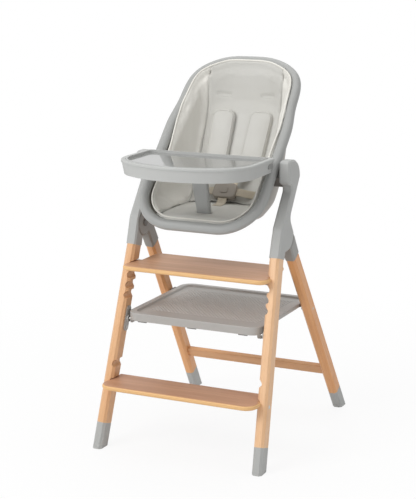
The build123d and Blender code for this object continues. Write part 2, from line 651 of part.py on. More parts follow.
def platform_tabs():
    width, height = TAB_SIZE
    z = PLATFORM_TOP - PLATFORM_HEIGHT - height / 2
    y = PLATFORM_FRONT + PLATFORM_WALL / 2 + 1
    tabs = []
    for x in TAB_OFFSETS:
        tabs.append(Pos(x, y, z) * Box(width, PLATFORM_WALL, height))
    return tabs


# Seat plane: local X across, local Y up the rim, local Z forward out of the bucket
RIM_ANGLE = radians(RIM_LEAN)
SEAT = Plane(origin=(0, *RIM_FOOT), x_dir=(1, 0, 0), z_dir=(0, -cos(RIM_ANGLE), sin(RIM_ANGLE)))


SEAT_LIP = Plane(
    origin=SEAT.from_local_coords((0, LIP_START, 0)),
    x_dir=SEAT.x_dir,
    z_dir=SEAT.y_dir * LIP_CLIMB - SEAT.z_dir,
)


def seat_point(along, depth):
    """Y and Z of a point up the rim plane and behind it."""
    y = RIM_FOOT[0] + along * sin(RIM_ANGLE) + depth * cos(RIM_ANGLE)
    z = RIM_FOOT[1] + along * cos(RIM_ANGLE) - depth * sin(RIM_ANGLE)
    return y, z


def hoop_edges(half, length, corner, side, shoulder):
    """Right half of a hoop: flat foot, corner arc, straight side, shoulder arc and crown arc, all tangent."""
    across = shoulder - half
    rise = length - side - shoulder
    shift = -(across**2 + rise**2) / (2 * rise)
    turn = atan2((rise + shift) / shift, across / shift)
    join = (half - shoulder + shoulder * cos(turn), side + shoulder * sin(turn))
    knee = (half - shoulder + shoulder * cos(turn / 2), side + shoulder * sin(turn / 2))
    crown = shoulder - shift
    bow = (crown * sin(atan2(join[0], join[1] - length + crown) / 2),
           length - crown + crown * cos(atan2(join[0], join[1] - length + crown) / 2))
    bend = corner * (1 - cos(radians(45)))
    return [
        Line((0, 0), (half - corner, 0)),
        ThreePointArc((half - corner, 0), (half - bend, bend), (half, corner)),
        Line((half, corner), (half, side)),
        ThreePointArc((half, side), knee, join),
        ThreePointArc(join, bow, (0, length)),
    ]


def hoop_face(*sizes):
    right = hoop_edges(*sizes)
    left = [mirror(edge, about=Plane.YZ) for edge in right]
    return make_face(right + left)


def seat_edges(half, length, corner, side):
    """Right half of a seat section: flat foot, corner arc, straight side and the curved upper part."""
    bend = corner * (1 - cos(radians(45)))
    upper = [(half * x, side + (length - side) * y) for x, y in UPPER_CURVE]
    return [
        Line((0, 0), (half - corner, 0)),
        ThreePointArc((half - corner, 0), (half - bend, bend), (half, corner)),
        Line((half, corner), (half, side)),
        Spline((half, side), *upper, (0, length), tangents=((0, 1), (-1, 0))),
    ]


def seat_section(row, inset, place):
    """One section of the bucket, drawn in from its edge and placed at a depth behind the rim."""
    half, front, back, corner, side = row[1:]
    right = seat_edges(half - inset, back - front - 2 * inset, corner - inset, side - inset)
    left = [mirror(edge, about=Plane.YZ) for edge in right]
    return SEAT * Pos(0, front + inset, -place) * make_face(right + left)


def between(low, high, share):
    return [a + share * (b - a) for a, b in zip(low, high)]


def row_at(depth):
    """Bucket section sizes at any depth, on a smooth curve through the listed sections."""
    last = len(BUCKET) - 2
    index = max(k for k in range(last + 1) if BUCKET[k][0] <= depth)
    low, high = BUCKET[index], BUCKET[index + 1]
    before, after = BUCKET[max(index - 1, 0)], BUCKET[min(index + 2, last + 1)]
    span = high[0] - low[0]
    share = (depth - low[0]) / span
    row = [depth]
    for a, b, c, d in zip(before[1:], low[1:], high[1:], after[1:]):
        start = (c - a) / (high[0] - before[0]) * span
        end = (d - b) / (after[0] - low[0]) * span
        value = b * (1 + 2 * share) * (1 - share) ** 2 + start * share * (1 - share) ** 2
        row.append(value + c * share**2 * (3 - 2 * share) - end * share**2 * (1 - share))
    return row


def seat_form(inset, lip, floor, deepest):
    """Solid with the bucket's form, drawn in by an inset and ending at a depth, its front out by a lip."""
    sections = [seat_section(row_at(0), inset, -lip)]
    for k in range(1, BUCKET_STATIONS):
        depth = deepest * k / (BUCKET_STATIONS - 1)
        sections.append(seat_section(row_at(depth), inset, depth - floor * depth / deepest))
    return loft(sections, ruled=True)


def bucket_form(inset, lip):
    return seat_form(inset, lip, inset, BUCKET[-1][0])


def padding_form():
    """Space in front of the padding."""
    inset = BUCKET_WALL + PAD_GAP + PAD_THICKNESS
    return seat_form(inset, 1, 0, BUCKET[-1][0] - inset)


def seat_rim():
    path = Wire(seat_edges(RIM_HALF, RIM_LENGTH, RIM_CORNER, RIM_SIDE))
    section = Plane(origin=(0, 0, 0), z_dir=(1, 0, 0)) * Circle(RIM_RADIUS)
    half = SEAT * sweep(section, path)
    return half + left_of(half)


def seat_shell(rim):
    return bucket_form(0, 0) - bucket_form(BUCKET_WALL, 1) - rim


def outside_of(block, bucket, axis, last):
    """What is left of a block outside the bucket, on one side of it."""
    return (block - bucket).solids().sort_by(axis)[-1 if last else 0]


def seat_lug(bucket, rim):
    """Pivot lug on the bucket's right side with the pin that the seat reclines about."""
    y, z = SEAT_PIVOT
    shape = Pos(y, z) * Circle(LUG_RADIUS)
    tail = Pos(-LUG_TAIL / 2, 0) * Rectangle(LUG_TAIL, 2 * LUG_RADIUS)
    shape += Pos(y, z) * Rot(0, 0, 90 - RIM_LEAN) * tail
    lug = side_plate(shape, BUCKET[1][1] / 2, HUB_INNER - SIDE_GAP)
    lug = outside_of(lug - rim, bucket, Axis.X, True)
    return Part() + lug + side_rod(y, z, LUG_PIN_RADIUS, HUB_INNER - 1, HUB_INNER + LUG_PIN_LENGTH - 1)


def seat_pad_block(raise_by):
    """Space under the seat pad's crowned top."""
    edge = SEAT_PAD_EDGE + raise_by
    half = BUCKET[0][1]
    low = edge - 3 * PAD_THICKNESS
    profile = make_face([
        Line((-half, low), (half, low)),
        Line((half, low), (half, edge)),
        ThreePointArc((half, edge), (0, SEAT_PAD_TOP + raise_by), (-half, edge)),
        Line((-half, edge), (-half, low)),
    ])
    return extrude(Plane.XZ * profile, FAR / 3, both=True)


def shoulder_line(share):
    """Y and Z on the back pad's front, from the seat (0) to the strap slots (1)."""
    low = seat_point(BUCKET[2][3] - BUCKET_WALL - PAD_THICKNESS, BUCKET[2][0])
    high = seat_point(BUCKET[1][3] - BUCKET_WALL - PAD_THICKNESS, BUCKET[1][0])
    return tuple(a + share * (b - a) for a, b in zip(low, high))


def padding_lip():
    """Rounded edge of the padding, which climbs onto the rim's inner front quarter above the tray."""
    path = Wire(seat_edges(RIM_HALF, RIM_LENGTH, RIM_CORNER, RIM_SIDE))
    inner = RIM_RADIUS - LIP_SINK
    outer = RIM_RADIUS + LIP_THICKNESS
    middle = (inner + outer) / 2
    half = sqrt(0.5)
    across = cos(radians(LIP_ROOT))
    down = -sin(radians(LIP_ROOT))
    edge = [
        Line((inner * across, inner * down), (outer * across, outer * down)),
        ThreePointArc((outer * across, outer * down), (outer * half, outer * half), (0, outer)),
        ThreePointArc((0, outer), (-LIP_THICKNESS / 2, middle), (0, inner)),
        ThreePointArc((0, inner), (inner * half, inner * half), (inner * across, inner * down)),
    ]
    section = Plane(origin=(0, 0, 0), x_dir=(0, 1, 0), z_dir=(1, 0, 0)) * make_face(edge)
    lip = SEAT * sweep(section, path)
    lip = split(lip, bisect_by=SEAT_LIP, keep=Keep.TOP)
    return lip + left_of(lip)


def pads(front_form, rim):
    """Seat pad, back pad and right side pad, as one lining cut along its seams."""
    lining = bucket_form(BUCKET_WALL + PAD_GAP, 0)
    seat = (lining - rim) & seat_pad_block(0)
    walls = lining - front_form - seat_pad_block(SEAM_GAP)
    walls = walls + padding_lip() - rim
    middle = Box(2 * PAD_SEAM - SEAM_GAP, 4 * FAR, 4 * FAR)
    back = walls & middle
    right = Box(FAR, 4 * FAR, 4 * FAR, align=(Align.MIN, Align.CENTER, Align.CENTER))
    side = walls & (Pos(PAD_SEAM + SEAM_GAP / 2, 0, 0) * right)
    return seat, back, side


def egg_plan(half, back, front, corner, side, shoulder):
    """Tray outline seen from above: straight back edge, rounded front."""
    return Pos(0, back) * mirror(hoop_face(half, back - front, corner, side, shoulder), about=Plane.XZ)


def tray_plan(inset):
    return egg_plan(TRAY_HALF - inset, TRAY_BACK - inset, TRAY_FRONT + inset, TRAY_CORNER, TRAY_SIDE - inset,
                    TRAY_SHOULDER - inset)


def tray():
    base = TRAY_TOP - TRAY_HEIGHT
    lip = extrude(Pos(0, 0, TRAY_TOP) * tray_plan(0), -TRAY_LIP)
    lip = fillet(lip.faces().sort_by(Axis.Z)[-1].edges(), TRAY_ROUND)
    skirt = extrude(Pos(0, 0, TRAY_TOP - TRAY_LIP / 2) * tray_plan(TRAY_LIP_OUT), TRAY_LIP / 2 - TRAY_HEIGHT,
                    taper=TRAY_TAPER)
    body = lip + skirt
    floor = TRAY_TOP - TRAY_DISH
    body -= extrude(Pos(0, 0, floor) * tray_plan(TRAY_RIM), 2 * TRAY_DISH)
    hollow_top = floor - TRAY_WALL
    body -= extrude(Pos(0, 0, hollow_top) * tray_plan(2 * TRAY_WALL), base - hollow_top - 1, taper=TRAY_TAPER)
    width = TRAY_ARM[0]
    length = TRAY_BACK - 2 * TRAY_WALL - TRAY_ARM_FRONT
    drop = hollow_top - TRAY_ARM_TOP - SIDE_GAP
    for side in (1, -1):
        body -= tray_arm_path(side)
        runner = Box(width, length, drop, align=(Align.CENTER, Align.MIN, Align.MAX))
        body += Pos(side * TRAY_ARM_X, TRAY_ARM_FRONT, hollow_top) * runner
    opening = tray_button(SIDE_GAP)
    return body - opening - left_of(opening)


def tray_arm_path(side):
    """Opening in the tray's back wall for a seat arm."""
    width, height = TRAY_ARM
    below = (Align.CENTER, Align.CENTER, Align.MAX)
    box = Box(width + 2 * SIDE_GAP, 6 * TRAY_CORNER, 3 * height, align=below)
    return Pos(side * TRAY_ARM_X, TRAY_BACK, TRAY_ARM_TOP + SIDE_GAP) * box


def tray_arm(rim, bucket):
    width, height = TRAY_ARM
    back = seat_point(0, 0)[0] + FAR
    length = back - TRAY_ARM_FRONT
    box = Pos(TRAY_ARM_X, TRAY_ARM_FRONT + length / 2, TRAY_ARM_TOP - height / 2) * Box(width, length, height)
    box = box - rim - bucket
    return box.solids().sort_by(Axis.Y)[0]


def tray_liner():
    """Lift-out dish in the tray's recess."""
    floor = TRAY_TOP - TRAY_DISH
    dish = Pos(0, 0, floor) * extrude(tray_plan(TRAY_RIM + LINER_GAP), TRAY_DISH + 1)
    dish = fillet(dish.faces().sort_by(Axis.Z)[-1].edges(), 1)
    cut = Pos(0, 0, floor + LINER_WALL) * extrude(tray_plan(TRAY_RIM + LINER_LIP), 2 * TRAY_DISH)
    return dish - cut


def crotch_post(grow):
    sections = []
    for (y, z), width in zip((POST_FOOT, POST_TOP), POST_WIDTHS):
        outline = RectangleRounded(width + 2 * grow, POST_THICKNESS + 2 * grow, POST_THICKNESS / 3)
        sections.append(Pos(0, y, z) * outline)
    return loft(sections)


def ribbon(points, grow=0):
    """Flat webbing through points, its width along X; grown for a slot."""
    band = Part()
    for (x0, y0, z0), (x1, y1, z1) in zip(points, points[1:]):
        lean = atan2(z1 - z0, y1 - y0)
        ends = []
        for x, y, z in ((x0, y0, z0), (x1, y1, z1)):
            plane = Plane(origin=(x, y, z), x_dir=(1, 0, 0), z_dir=(0, cos(lean), sin(lean)))
            ends.append(plane * Rectangle(WEB_WIDTH + 2 * grow, WEB_THICKNESS + 2 * grow))
        band += loft(ends, ruled=True)
    return band


def pad_front(share, forward):
    """Y and Z on the line up the back pad's front, moved forward of it."""
    y, z = shoulder_line(share)
    (y0, z0), (y1, z1) = shoulder_line(0), shoulder_line(1)
    length = hypot(y1 - y0, z1 - z0)
    return y - forward * (z1 - z0) / length, z + forward * (y1 - y0) / length


def shoulder_pad():
    """Sleeve with a rounded front, round the right shoulder strap."""
    width, length, thickness = SHOULDER_PAD
    y, z = pad_front(SHOULDER_SHARE, SHOULDER_LIFT)
    (y0, z0), (y1, z1) = shoulder_line(0), shoulder_line(1)
    plane = Plane(origin=(SHOULDER_X, y, z), x_dir=(1, 0, 0), z_dir=(0, z0 - z1, y1 - y0))
    pad = extrude(plane * RectangleRounded(width, length, SHOULDER_ROUND), thickness)
    pad = fillet(pad.faces().sort_by(Axis(plane.origin, plane.z_dir))[-1].edges(), thickness * 0.7)
    tunnel = Box(WEB_WIDTH + 2 * PAD_GAP, 2 * length, WEB_THICKNESS + 2 * PAD_GAP)
    return pad - plane * Pos(0, 0, thickness * 0.3) * tunnel


def strap_points():
    """Right shoulder webbing: behind the shell, through the slot, down its sleeve, to the buckle tongue."""
    inside = SHOULDER_LIFT + SHOULDER_PAD[2] * 0.3
    behind = pad_front(SLOT_SHARE, -STRAP_TAIL)
    over = pad_front(SLOT_SHARE - 0.06, inside)
    low = pad_front(STRAP_LOW, inside)
    return [(SHOULDER_X, *behind), (SHOULDER_X, *over), (SHOULDER_X, *low), tongue_end()]


def strap_slot():
    return ribbon(strap_points()[:2], SLOT_MARGIN)


BUCKLE = Plane(origin=(0, *BUCKLE_AT), x_dir=(1, 0, 0),
               z_dir=(0, -sin(radians(BUCKLE_TILT)), cos(radians(BUCKLE_TILT))))


def tongue_end():
    width, length, _ = BUCKLE_SIZE
    point = BUCKLE.from_local_coords(Vector(width * 0.28, length / 2 + TONGUE_LENGTH, 0))
    return point.X, point.Y, point.Z


def buckle_body():
    width, length, thickness = BUCKLE_SIZE
    body = extrude(RectangleRounded(width, length, length * 0.3), thickness / 2, both=True)
    body = fillet(body.faces().sort_by(Axis.Z)[-1].edges(), thickness / 4)
    across, along, rise = BUCKLE_BUTTON
    pocket = RectangleRounded(across + 2 * RUN_GAP, along + 2 * RUN_GAP, along / 4 + RUN_GAP)
    depth = rise + BUCKLE_TRAVEL
    body -= extrude(Pos(0, 0, thickness / 2 - depth) * pocket, 2 * depth)
    for side in (1, -1):
        body -= tongue_form(side, SOCKET_GAP)
    return BUCKLE * body


def buckle_button():
    across, along, rise = BUCKLE_BUTTON
    thickness = BUCKLE_SIZE[2]
    base = thickness / 2 - rise
    button = extrude(Pos(0, 0, base) * RectangleRounded(across, along, along / 4), 2 * rise - 1)
    return BUCKLE * fillet(button.faces().sort_by(Axis.Z)[-1].edges(), 1)


def tongue_form(side, grow):
    """Flat tongue that plugs into the buckle's upper edge, in the buckle's frame."""
    width, length, _ = BUCKLE_SIZE
    reach = TONGUE_LENGTH + TONGUE_ENTRY
    box = Box(TONGUE_WIDTH + 2 * grow, reach + 2 * grow, TONGUE_THICKNESS + 2 * grow)
    return Pos(side * width * 0.28, length / 2 - TONGUE_ENTRY + reach / 2, 0) * box


def buckle_tongue(strap):
    return BUCKLE * tongue_form(1, 0) - strap


def crotch_strap(pad):
    """Webbing from the seat pad up to the buckle's lower edge."""
    length = BUCKLE_SIZE[1]
    end = BUCKLE.from_local_coords(Vector(0, -length / 2 - WEB_THICKNESS / 2, 0))
    start = (0, end.Y - CROTCH_RUN, SEAT_PAD_TOP - CROTCH_DIP)
    band = ribbon([start, (0, end.Y, end.Z)])
    return outside_of(band, pad, Axis.Z, True)


def recline_parts(bucket):
    """Housing on the back of the bucket and the squeeze handle that slides up it."""
    across, along, thick = HANDLE_HOUSING
    low, high = BUCKET[1], BUCKET[2]
    share = (low[3] - HANDLE_AT) / (low[3] - high[3])
    y, z = seat_point(HANDLE_AT, between(low, high, share)[0])
    (y0, z0), (y1, z1) = seat_point(high[3], high[0]), seat_point(low[3], low[0])
    back = Plane(origin=(0, y, z), x_dir=(-1, 0, 0), z_dir=(0, z1 - z0, y0 - y1))
    housing = extrude(back.offset(-2 * thick) * RectangleRounded(across, along, along / 4), 3 * thick)
    housing = fillet(housing.faces().sort_by(Axis(back.origin, back.z_dir))[-1].edges(), thick / 4)
    housing = outside_of(housing, bucket, Axis.Y, True)
    width, height, depth = HANDLE_SIZE
    slot = RectangleRounded(width + 2 * SIDE_GAP, height + HANDLE_TRAVEL + 2 * SIDE_GAP, height / 4)
    pocket = extrude(back.offset(thick - depth / 2) * Pos(0, HANDLE_TRAVEL / 2) * slot, depth)
    grip = extrude(back.offset(thick - depth / 2) * RectangleRounded(width, height, height / 4), depth)
    grip = fillet(grip.faces().sort_by(Axis(back.origin, back.z_dir))[-1].edges(), depth / 4)
    return Part() + housing - pocket, grip


def tray_button(grow):
    """Release button in the tray's right side wall; grown for its opening."""
    width, length, height = TRAY_BUTTON
    z = TRAY_TOP - TRAY_HEIGHT / 2
    outer = TRAY_HALF - TRAY_HEIGHT / 2 * tangent(TRAY_TAPER) + TRAY_BUTTON_RISE + 4 * grow
    outline = RectangleRounded(length + 2 * grow, height + 2 * grow, height / 3)
    return side_plate(Pos(TRAY_BACK - TRAY_BUTTON_BACK, z) * outline, outer - width - 8 * grow, outer)


nodes = {}


def pair(name, part):
    nodes[name + "_left"] = left_of(part)
    nodes[name + "_right"] = part


def both(name, part):
    """Identical fittings on both sides, kept as one group."""
    pieces = part if isinstance(part, list) else [part]
    nodes[name] = pieces + [left_of(piece) for piece in pieces]


pair("front_leg", front_leg())
pair("front_boot", boot(FRONT_PLANE, FRONT_DEPTH, FRONT_BOOT))
pair("side_hub", hub())
both("fold_pins", fold_pin())
pair("rear_leg", rear_leg())
pair("rear_boot", boot(REAR_PLANE, REAR_DEPTH, REAR_BOOT))
pair("rear_socket", rear_socket())
pair("fold_button", fold_button())
nodes["crossbar"] = crossbar()

nodes["footrest_board"] = footrest_board()
both("footrest_brackets", board_bracket(FOOTREST_TOP))
nodes["step_board"] = step_board()
both("step_brackets", board_bracket(STEP_TOP) - step_bolt_holes())
both("step_bolts", step_bolt())

nodes["platform"] = platform()
pair("platform_hinge", hinge_plate())
both("platform_pins", hinge_pin())
both("hinge_screws", hinge_screws())
both("platform_hooks", platform_hook())
both("platform_studs", stud_rod(STUD_RADIUS))
nodes["platform_tabs"] = platform_tabs()

rim = seat_rim()
bucket = bucket_form(0, 0)
shell = seat_shell(rim)
seat_pad, back_pad, side_pad = pads(padding_form(), rim)
nodes["seat_rim"] = rim
pair("seat_lug", seat_lug(bucket, rim))
nodes["crotch_post"] = (crotch_post(0) - shell).solids().sort_by(Axis.Z)[-1]
nodes["seat_pad"] = seat_pad - crotch_post(PAD_GAP)
pair("side_pad", side_pad)

strap = ribbon(strap_points())
slots = strap_slot() + left_of(strap_slot())
nodes["seat_shell"] = shell - slots
nodes["back_pad"] = back_pad - slots
pair("shoulder_pad", shoulder_pad() - strap_slot())
pair("shoulder_strap", strap)
nodes["buckle_body"] = buckle_body()
nodes["buckle_button"] = buckle_button()
both("buckle_tongues", buckle_tongue(strap))
nodes["crotch_strap"] = crotch_strap(seat_pad)
nodes["recline_housing"], nodes["recline_handle"] = recline_parts(bucket)

nodes["tray"] = tray()
nodes["tray_liner"] = tray_liner()
pair("tray_arm", tray_arm(rim, bucket))
pair("tray_button", tray_button(0))

# The origin goes to the middle of the floor outline
solids = {}
for name, part in nodes.items():
    pieces = part if isinstance(part, list) else [part]
    solids[name] = [solid for piece in pieces for solid in piece.solids()]
boxes = [piece.bounding_box() for group in solids.values() for piece in group]
ORIGIN_Y = (min(box.min.Y for box in boxes) + max(box.max.Y for box in boxes)) / 2

for name, group in solids.items():
    moved = [Pos(0, -ORIGIN_Y, 0) * Solid(piece.wrapped) for piece in group]
    export_step(Compound(children=moved), f"parts/{name}.step")
print(f"origin moved by {-ORIGIN_Y:.4f} in Y")
for label, (y, z) in {"fold": (FOLD_Y, FOLD_Z), "platform": PLATFORM_PIN, "seat": SEAT_PIVOT}.items():
    print(f"{label} pin at y {y - ORIGIN_Y:.4f}, z {z:.4f}")
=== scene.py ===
from math import cos, pi, radians, sin

import bmesh
import bpy
import numpy as np
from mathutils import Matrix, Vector


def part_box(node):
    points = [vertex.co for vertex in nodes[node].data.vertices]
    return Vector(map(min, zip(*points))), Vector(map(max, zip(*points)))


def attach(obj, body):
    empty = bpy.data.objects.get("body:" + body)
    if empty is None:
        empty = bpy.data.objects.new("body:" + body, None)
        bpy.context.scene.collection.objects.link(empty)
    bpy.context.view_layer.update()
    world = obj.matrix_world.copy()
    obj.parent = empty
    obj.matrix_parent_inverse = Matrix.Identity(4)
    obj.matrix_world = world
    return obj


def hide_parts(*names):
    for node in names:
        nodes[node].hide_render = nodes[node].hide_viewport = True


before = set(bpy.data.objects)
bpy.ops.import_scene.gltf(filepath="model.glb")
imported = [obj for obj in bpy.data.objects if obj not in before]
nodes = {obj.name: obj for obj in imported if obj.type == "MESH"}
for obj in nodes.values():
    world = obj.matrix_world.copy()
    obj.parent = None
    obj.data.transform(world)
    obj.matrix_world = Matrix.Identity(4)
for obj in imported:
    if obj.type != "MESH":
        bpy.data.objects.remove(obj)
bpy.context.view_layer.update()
scene = bpy.context.scene
scene.view_settings.view_transform = "Standard"

# Sizes, in metres unless a comment says otherwise
SIDES = {"left": -1.0, "right": 1.0}
X_WAY = np.array([1.0, 0.0, 0.0])
Z_WAY = np.array([0.0, 0.0, 1.0])

# Rim: one flat loop that leans back
SEAT_FOOT = np.array([0.0, -0.1864519, 0.57949])  # middle of the rim tube at the front
RIM_LEAN = radians(44.3)
RIM_UP = np.array([0.0, sin(RIM_LEAN), cos(RIM_LEAN)])
RIM_OUT = np.array([0.0, -cos(RIM_LEAN), sin(RIM_LEAN)])
RIM_HALF = 0.1622864
RIM_LENGTH = 0.5276
RIM_CORNER = 0.100
RIM_SIDE = 0.300  # up the rim, where its straight sides end
UPPER_CURVE = ((0.941, 0.3568), (0.843, 0.769), (0.441, 0.969))  # shares of the half width and of the rise
LOOP_COUNT = 720
CURVE_COUNT = 24

# Padding's edge over the rim
LIP_START = 0.225  # up the rim, where the edge begins to climb onto it
LIP_CLIMB = 0.12  # rise of the edge for each metre up the rim
LIP_MIDDLE = 0.0165  # from the rim's middle line to the edge
LIP_SHARE = 0.66  # of the quarter turn over the rim that the padding covers
LIP_REACH = 0.030  # points nearer than this to the rim's middle line belong to the edge
LIP_TURN = 2.2  # radians round the rim, as far as the edge is drawn back
HOLD_OFF = 0.0042  # gap between the edge and the rim low down
HOLD_TOP = 0.33  # up the rim, where that gap has closed
HOLD_FADE = 0.09
HOLD_DEPTH = 0.0165  # away from the rim, over which the padding is held off less and less
HOLD_TURN = -1.4  # radians round the rim, behind which the padding stays where it is
PIPING_OUT = 0.0012  # piping's middle beyond the edge
PIPING_RADIUS = 0.0025
PIPING_WINDOW = 35  # points over which the piping's climb is softened

# Seams and stuffing
PAD_SEAM = 0.106  # from the middle of the seat
SEAM_NEAR = 0.0012  # points nearer than this to a seam belong to it
SEAM_LET = 0.0010  # seams are let out, so that they meet
LIP_SEAM_LET = 0.0026  # and more over the rim
FOOT_LET = 0.0025  # cushions are let down to the seat cushion
FOOT_TOP = 0.612  # a cushion's foot lies below this height, behind this place, and faces down
FOOT_FRONT = -0.1
FOOT_FACING = -0.4
WELT_NEAR = 0.0008
WELT_SINK = 0.0012  # below the cushion's front
WELT_THICK = 0.0026
BACK_STUFFING = 0.0038
BACK_EDGE = 0.0002  # past the seam, where the back still gets its stuffing
FACING = 0.1  # normals that lean further out of the back than this are on a front
STUFFED_FACING = 0.25
TOP_LIP = (0.0145, 0.0138)  # back cushion's upper edge, from the rim's middle line inwards and outwards
TOP_FLAT = 0.045  # inwards from the rim's middle line to the flat of the back
TOP_BAND = 0.003  # to each side of that, where the flat's height is taken
TOP_MOST = 0.008
TOP_SHARE = 0.85  # of the hollow that is filled
TOP_FADE = 0.006  # from the seams, where the filling grows from nothing
COVER_SLIM = 0.0003  # drawn in before the cover is filled
SIDE_FACING = np.array([-0.85, -0.35, 0.4])  # from the right side cushion to the sitter
HELD_FACING = 0.15  # normals that face the sitter less than this are on a held backing
CLOTH_FRAMES = 20

# Shoulder sleeves and free strap slots, on the back's slope
SLEEVE_STUFFING = 0.0025
SLEEVE_LEAN = {"left": 0.0, "right": -0.06}  # sideways, for each metre down the back
SLEEVE_MIDDLE = np.array([0.0, 0.1020, 0.7640])
SLEEVE_HALF = 0.075
SLEEVE_X = 0.054
SLEEVE_BORDER = (0.0560, 0.1400, 0.0180)  # width, height and corner of the piping's loop
SLEEVE_PIPING = 0.0016
SLOT_X = 0.062
SLOT_UP = 0.116  # over the sleeve's middle, up the back
SLOT_SIZE = (0.042, 0.011)
SLOT_DEPTH = 0.0016
SLOT_SOFT = 1.5  # half heights from a slot's middle line, where its hollow ends
SLOT_CORNER = SLOT_SIZE[1] / 2 - 0.0005
SLOT_BINDING = 0.0006
CORD_WINDOW = 15  # points over which a cord's height is softened

# Harness: the shoulder tape runs from its slot to the buckle, the waist tape from the buckle outwards,
# both on the right, and the crotch tape from the seat to the buckle
TAPE_WIDTH = 0.025
WAIST_WIDTH = 0.022
TAPE_HALF = 0.0007  # half the tape's thickness
SHOULDER_RUN = np.array([(SLEEVE_X, 0.1632, 0.8097), (SLEEVE_X, 0.1273, 0.8163), (SLEEVE_X, 0.0990, 0.7540),
                         (SLEEVE_X, 0.0660, 0.6819), (0.0179, 0.0353, 0.6630)])
WAIST_RUN = np.array([(0.0300, 0.0142, 0.6362), (0.0420, 0.0160, 0.6350), (0.0620, 0.0290, 0.6290),
                      (0.0800, 0.0430, 0.6250)])
WAIST_ACROSS = (0.0, 0.643, 0.766)
CROTCH_RUN = ((0.0, -0.0420, 0.6080), (0.0, -0.0260, 0.6085), (0.0, -0.0130, 0.6090), (0.0, -0.0040, 0.6215))

# Platform tread
TREAD_PITCH = 0.0105
TREAD_ROW = 0.0062
TREAD_COLUMNS = 14  # on each side of the middle one
TREAD_ROWS = 38
TREAD_FRONT = -0.125
TREAD_FLOOR = 0.33695
STUD_HALF = 0.0047
STUD_RISE = 0.0011
STUD_DEPTH = 0.62  # of its width
STUD_TOP = 0.55  # of its foot

# Studio
WORLD_LIGHT = 0.45
FLOOR_REACH = 60.0
FLOOR_DROP = 0.0005
LAMP_AIM = (0.0, 0.0, 0.55)
LAMPS = (  # name, place, size and watts
    ("key", (-1.6, -3.0, 2.7), 2.2, 82.0),
    ("fill", (2.6, -2.2, 1.7), 2.4, 9.0),
    ("top", (0.2, 0.3, 3.2), 2.6, 28.0),
    ("back", (-1.2, 2.0, 3.4), 2.0, 14.0),
)
CAMERA_AT = (1.5149, -3.3299776, 1.3004)
CAMERA_DOWN = 12.57  # degrees
CAMERA_TURN = 25.07  # degrees
SENSOR_MM = 36.0
LENS_MM = 103.9


def srgb(red, green, blue):
    """Screen colour, 0 to 255, as the linear colour that a shader takes."""
    c = np.array([red, green, blue]) / 255
    c = np.where(c <= 0.04045, c / 12.92, ((c + 0.055) / 1.055) ** 2.4)
    return (*c.tolist(), 1.0)


# Finishes
def put(tree, kind, *feeds, **settings):
    """A shader node with its settings; each feed is an input's name and a socket or a value."""
    node = tree.nodes.new("ShaderNode" + kind)
    for key, value in settings.items():
        setattr(node, key, value)
    for key, source in feeds:
        if isinstance(source, bpy.types.NodeSocket):
            tree.links.new(source, node.inputs[key])
        else:
            node.inputs[key].default_value = source
    return node


def sums(tree, operation, first, second):
    """One arithmetic step on two sockets or values."""
    return put(tree, "Math", (0, first), (1, second), operation=operation).outputs[0]


def spread(tree, value, low, high, bottom=0.0, top=1.0):
    """The range from low to high carried to the range from bottom to top, and held at its ends."""
    feeds = (("Value", value), ("From Min", low), ("From Max", high), ("To Min", bottom), ("To Max", top))
    return put(tree, "MapRange", *feeds).outputs[0]


def tint(tree, share, first, second):
    """Colour between two colours."""
    mix = put(tree, "Mix", (0, share), (6, first), (7, second), data_type="RGBA")
    return mix.outputs[2]


def noise(tree, place, scale, detail=2.0, stretch=None, distortion=0.0):
    """Noise at a scale per metre, stretched along an axis where asked."""
    if stretch is not None:
        place = put(tree, "Mapping", ("Vector", place), ("Scale", stretch)).outputs[0]
    feeds = (("Vector", place), ("Scale", scale), ("Detail", detail), ("Distortion", distortion))
    return put(tree, "TexNoise", *feeds).outputs[0]


def effect(name, given, results):
    """An empty node group with its named inputs and outputs."""
    tree = bpy.data.node_groups.new(name, "ShaderNodeTree")
    for label, kind in given:
        tree.interface.new_socket(label, in_out="INPUT", socket_type="NodeSocket" + kind)
    for label, kind in results:
        tree.interface.new_socket(label, in_out="OUTPUT", socket_type="NodeSocket" + kind)
    return tree, tree.nodes.new("NodeGroupInput").outputs, tree.nodes.new("NodeGroupOutput").inputs


FINISH = (("Color", "Color"), ("Roughness", "Float"), ("Height", "Float"))
FIGURE_STRETCH = (26, 26, 1.7)  # per metre, as all of these are
FIBRE_STRETCH = (480, 480, 10)
PORE_STRETCH = (900, 900, 75)
SPARK_SCALE = 1100.0
PEBBLE_SCALE = 620.0
RIB_SCALE = 210.0
TWILL_SCALE = 150.0


def wood_effect():
    """Growth figure, fibres and short pores, all drawn out along the third axis."""
    given = (("Along", "Vector"), ("Light", "Color"), ("Dark", "Color"), ("Figure", "Float"))
    tree, take, give = effect("wood_grain", given, FINISH)
    broad = noise(tree, take["Along"], 1.0, 3.0, FIGURE_STRETCH, distortion=1.4)
    fibre = noise(tree, take["Along"], 1.0, 4.0, FIBRE_STRETCH)
    pore = noise(tree, take["Along"], 1.0, 1.0, PORE_STRETCH)
    fleck = spread(tree, pore, 0.63, 0.74)
    figure = sums(tree, "MULTIPLY", spread(tree, broad, 0.3, 0.7), take["Figure"])
    tone = sums(tree, "ADD", figure, sums(tree, "MULTIPLY", spread(tree, fibre, 0.3, 0.7), 0.45))
    grain = tint(tree, spread(tree, tone, 0.0, 1.3), take["Light"], take["Dark"])
    shade = sums(tree, "SUBTRACT", 1.0, sums(tree, "MULTIPLY", fleck, 0.16))
    tone_node = put(tree, "HueSaturation", ("Value", shade), ("Color", grain))
    tree.links.new(tone_node.outputs[0], give["Color"])
    tree.links.new(spread(tree, fibre, 0.3, 0.7, 0.38, 0.52), give["Roughness"])
    tree.links.new(sums(tree, "SUBTRACT", fibre, fleck), give["Height"])
    return tree


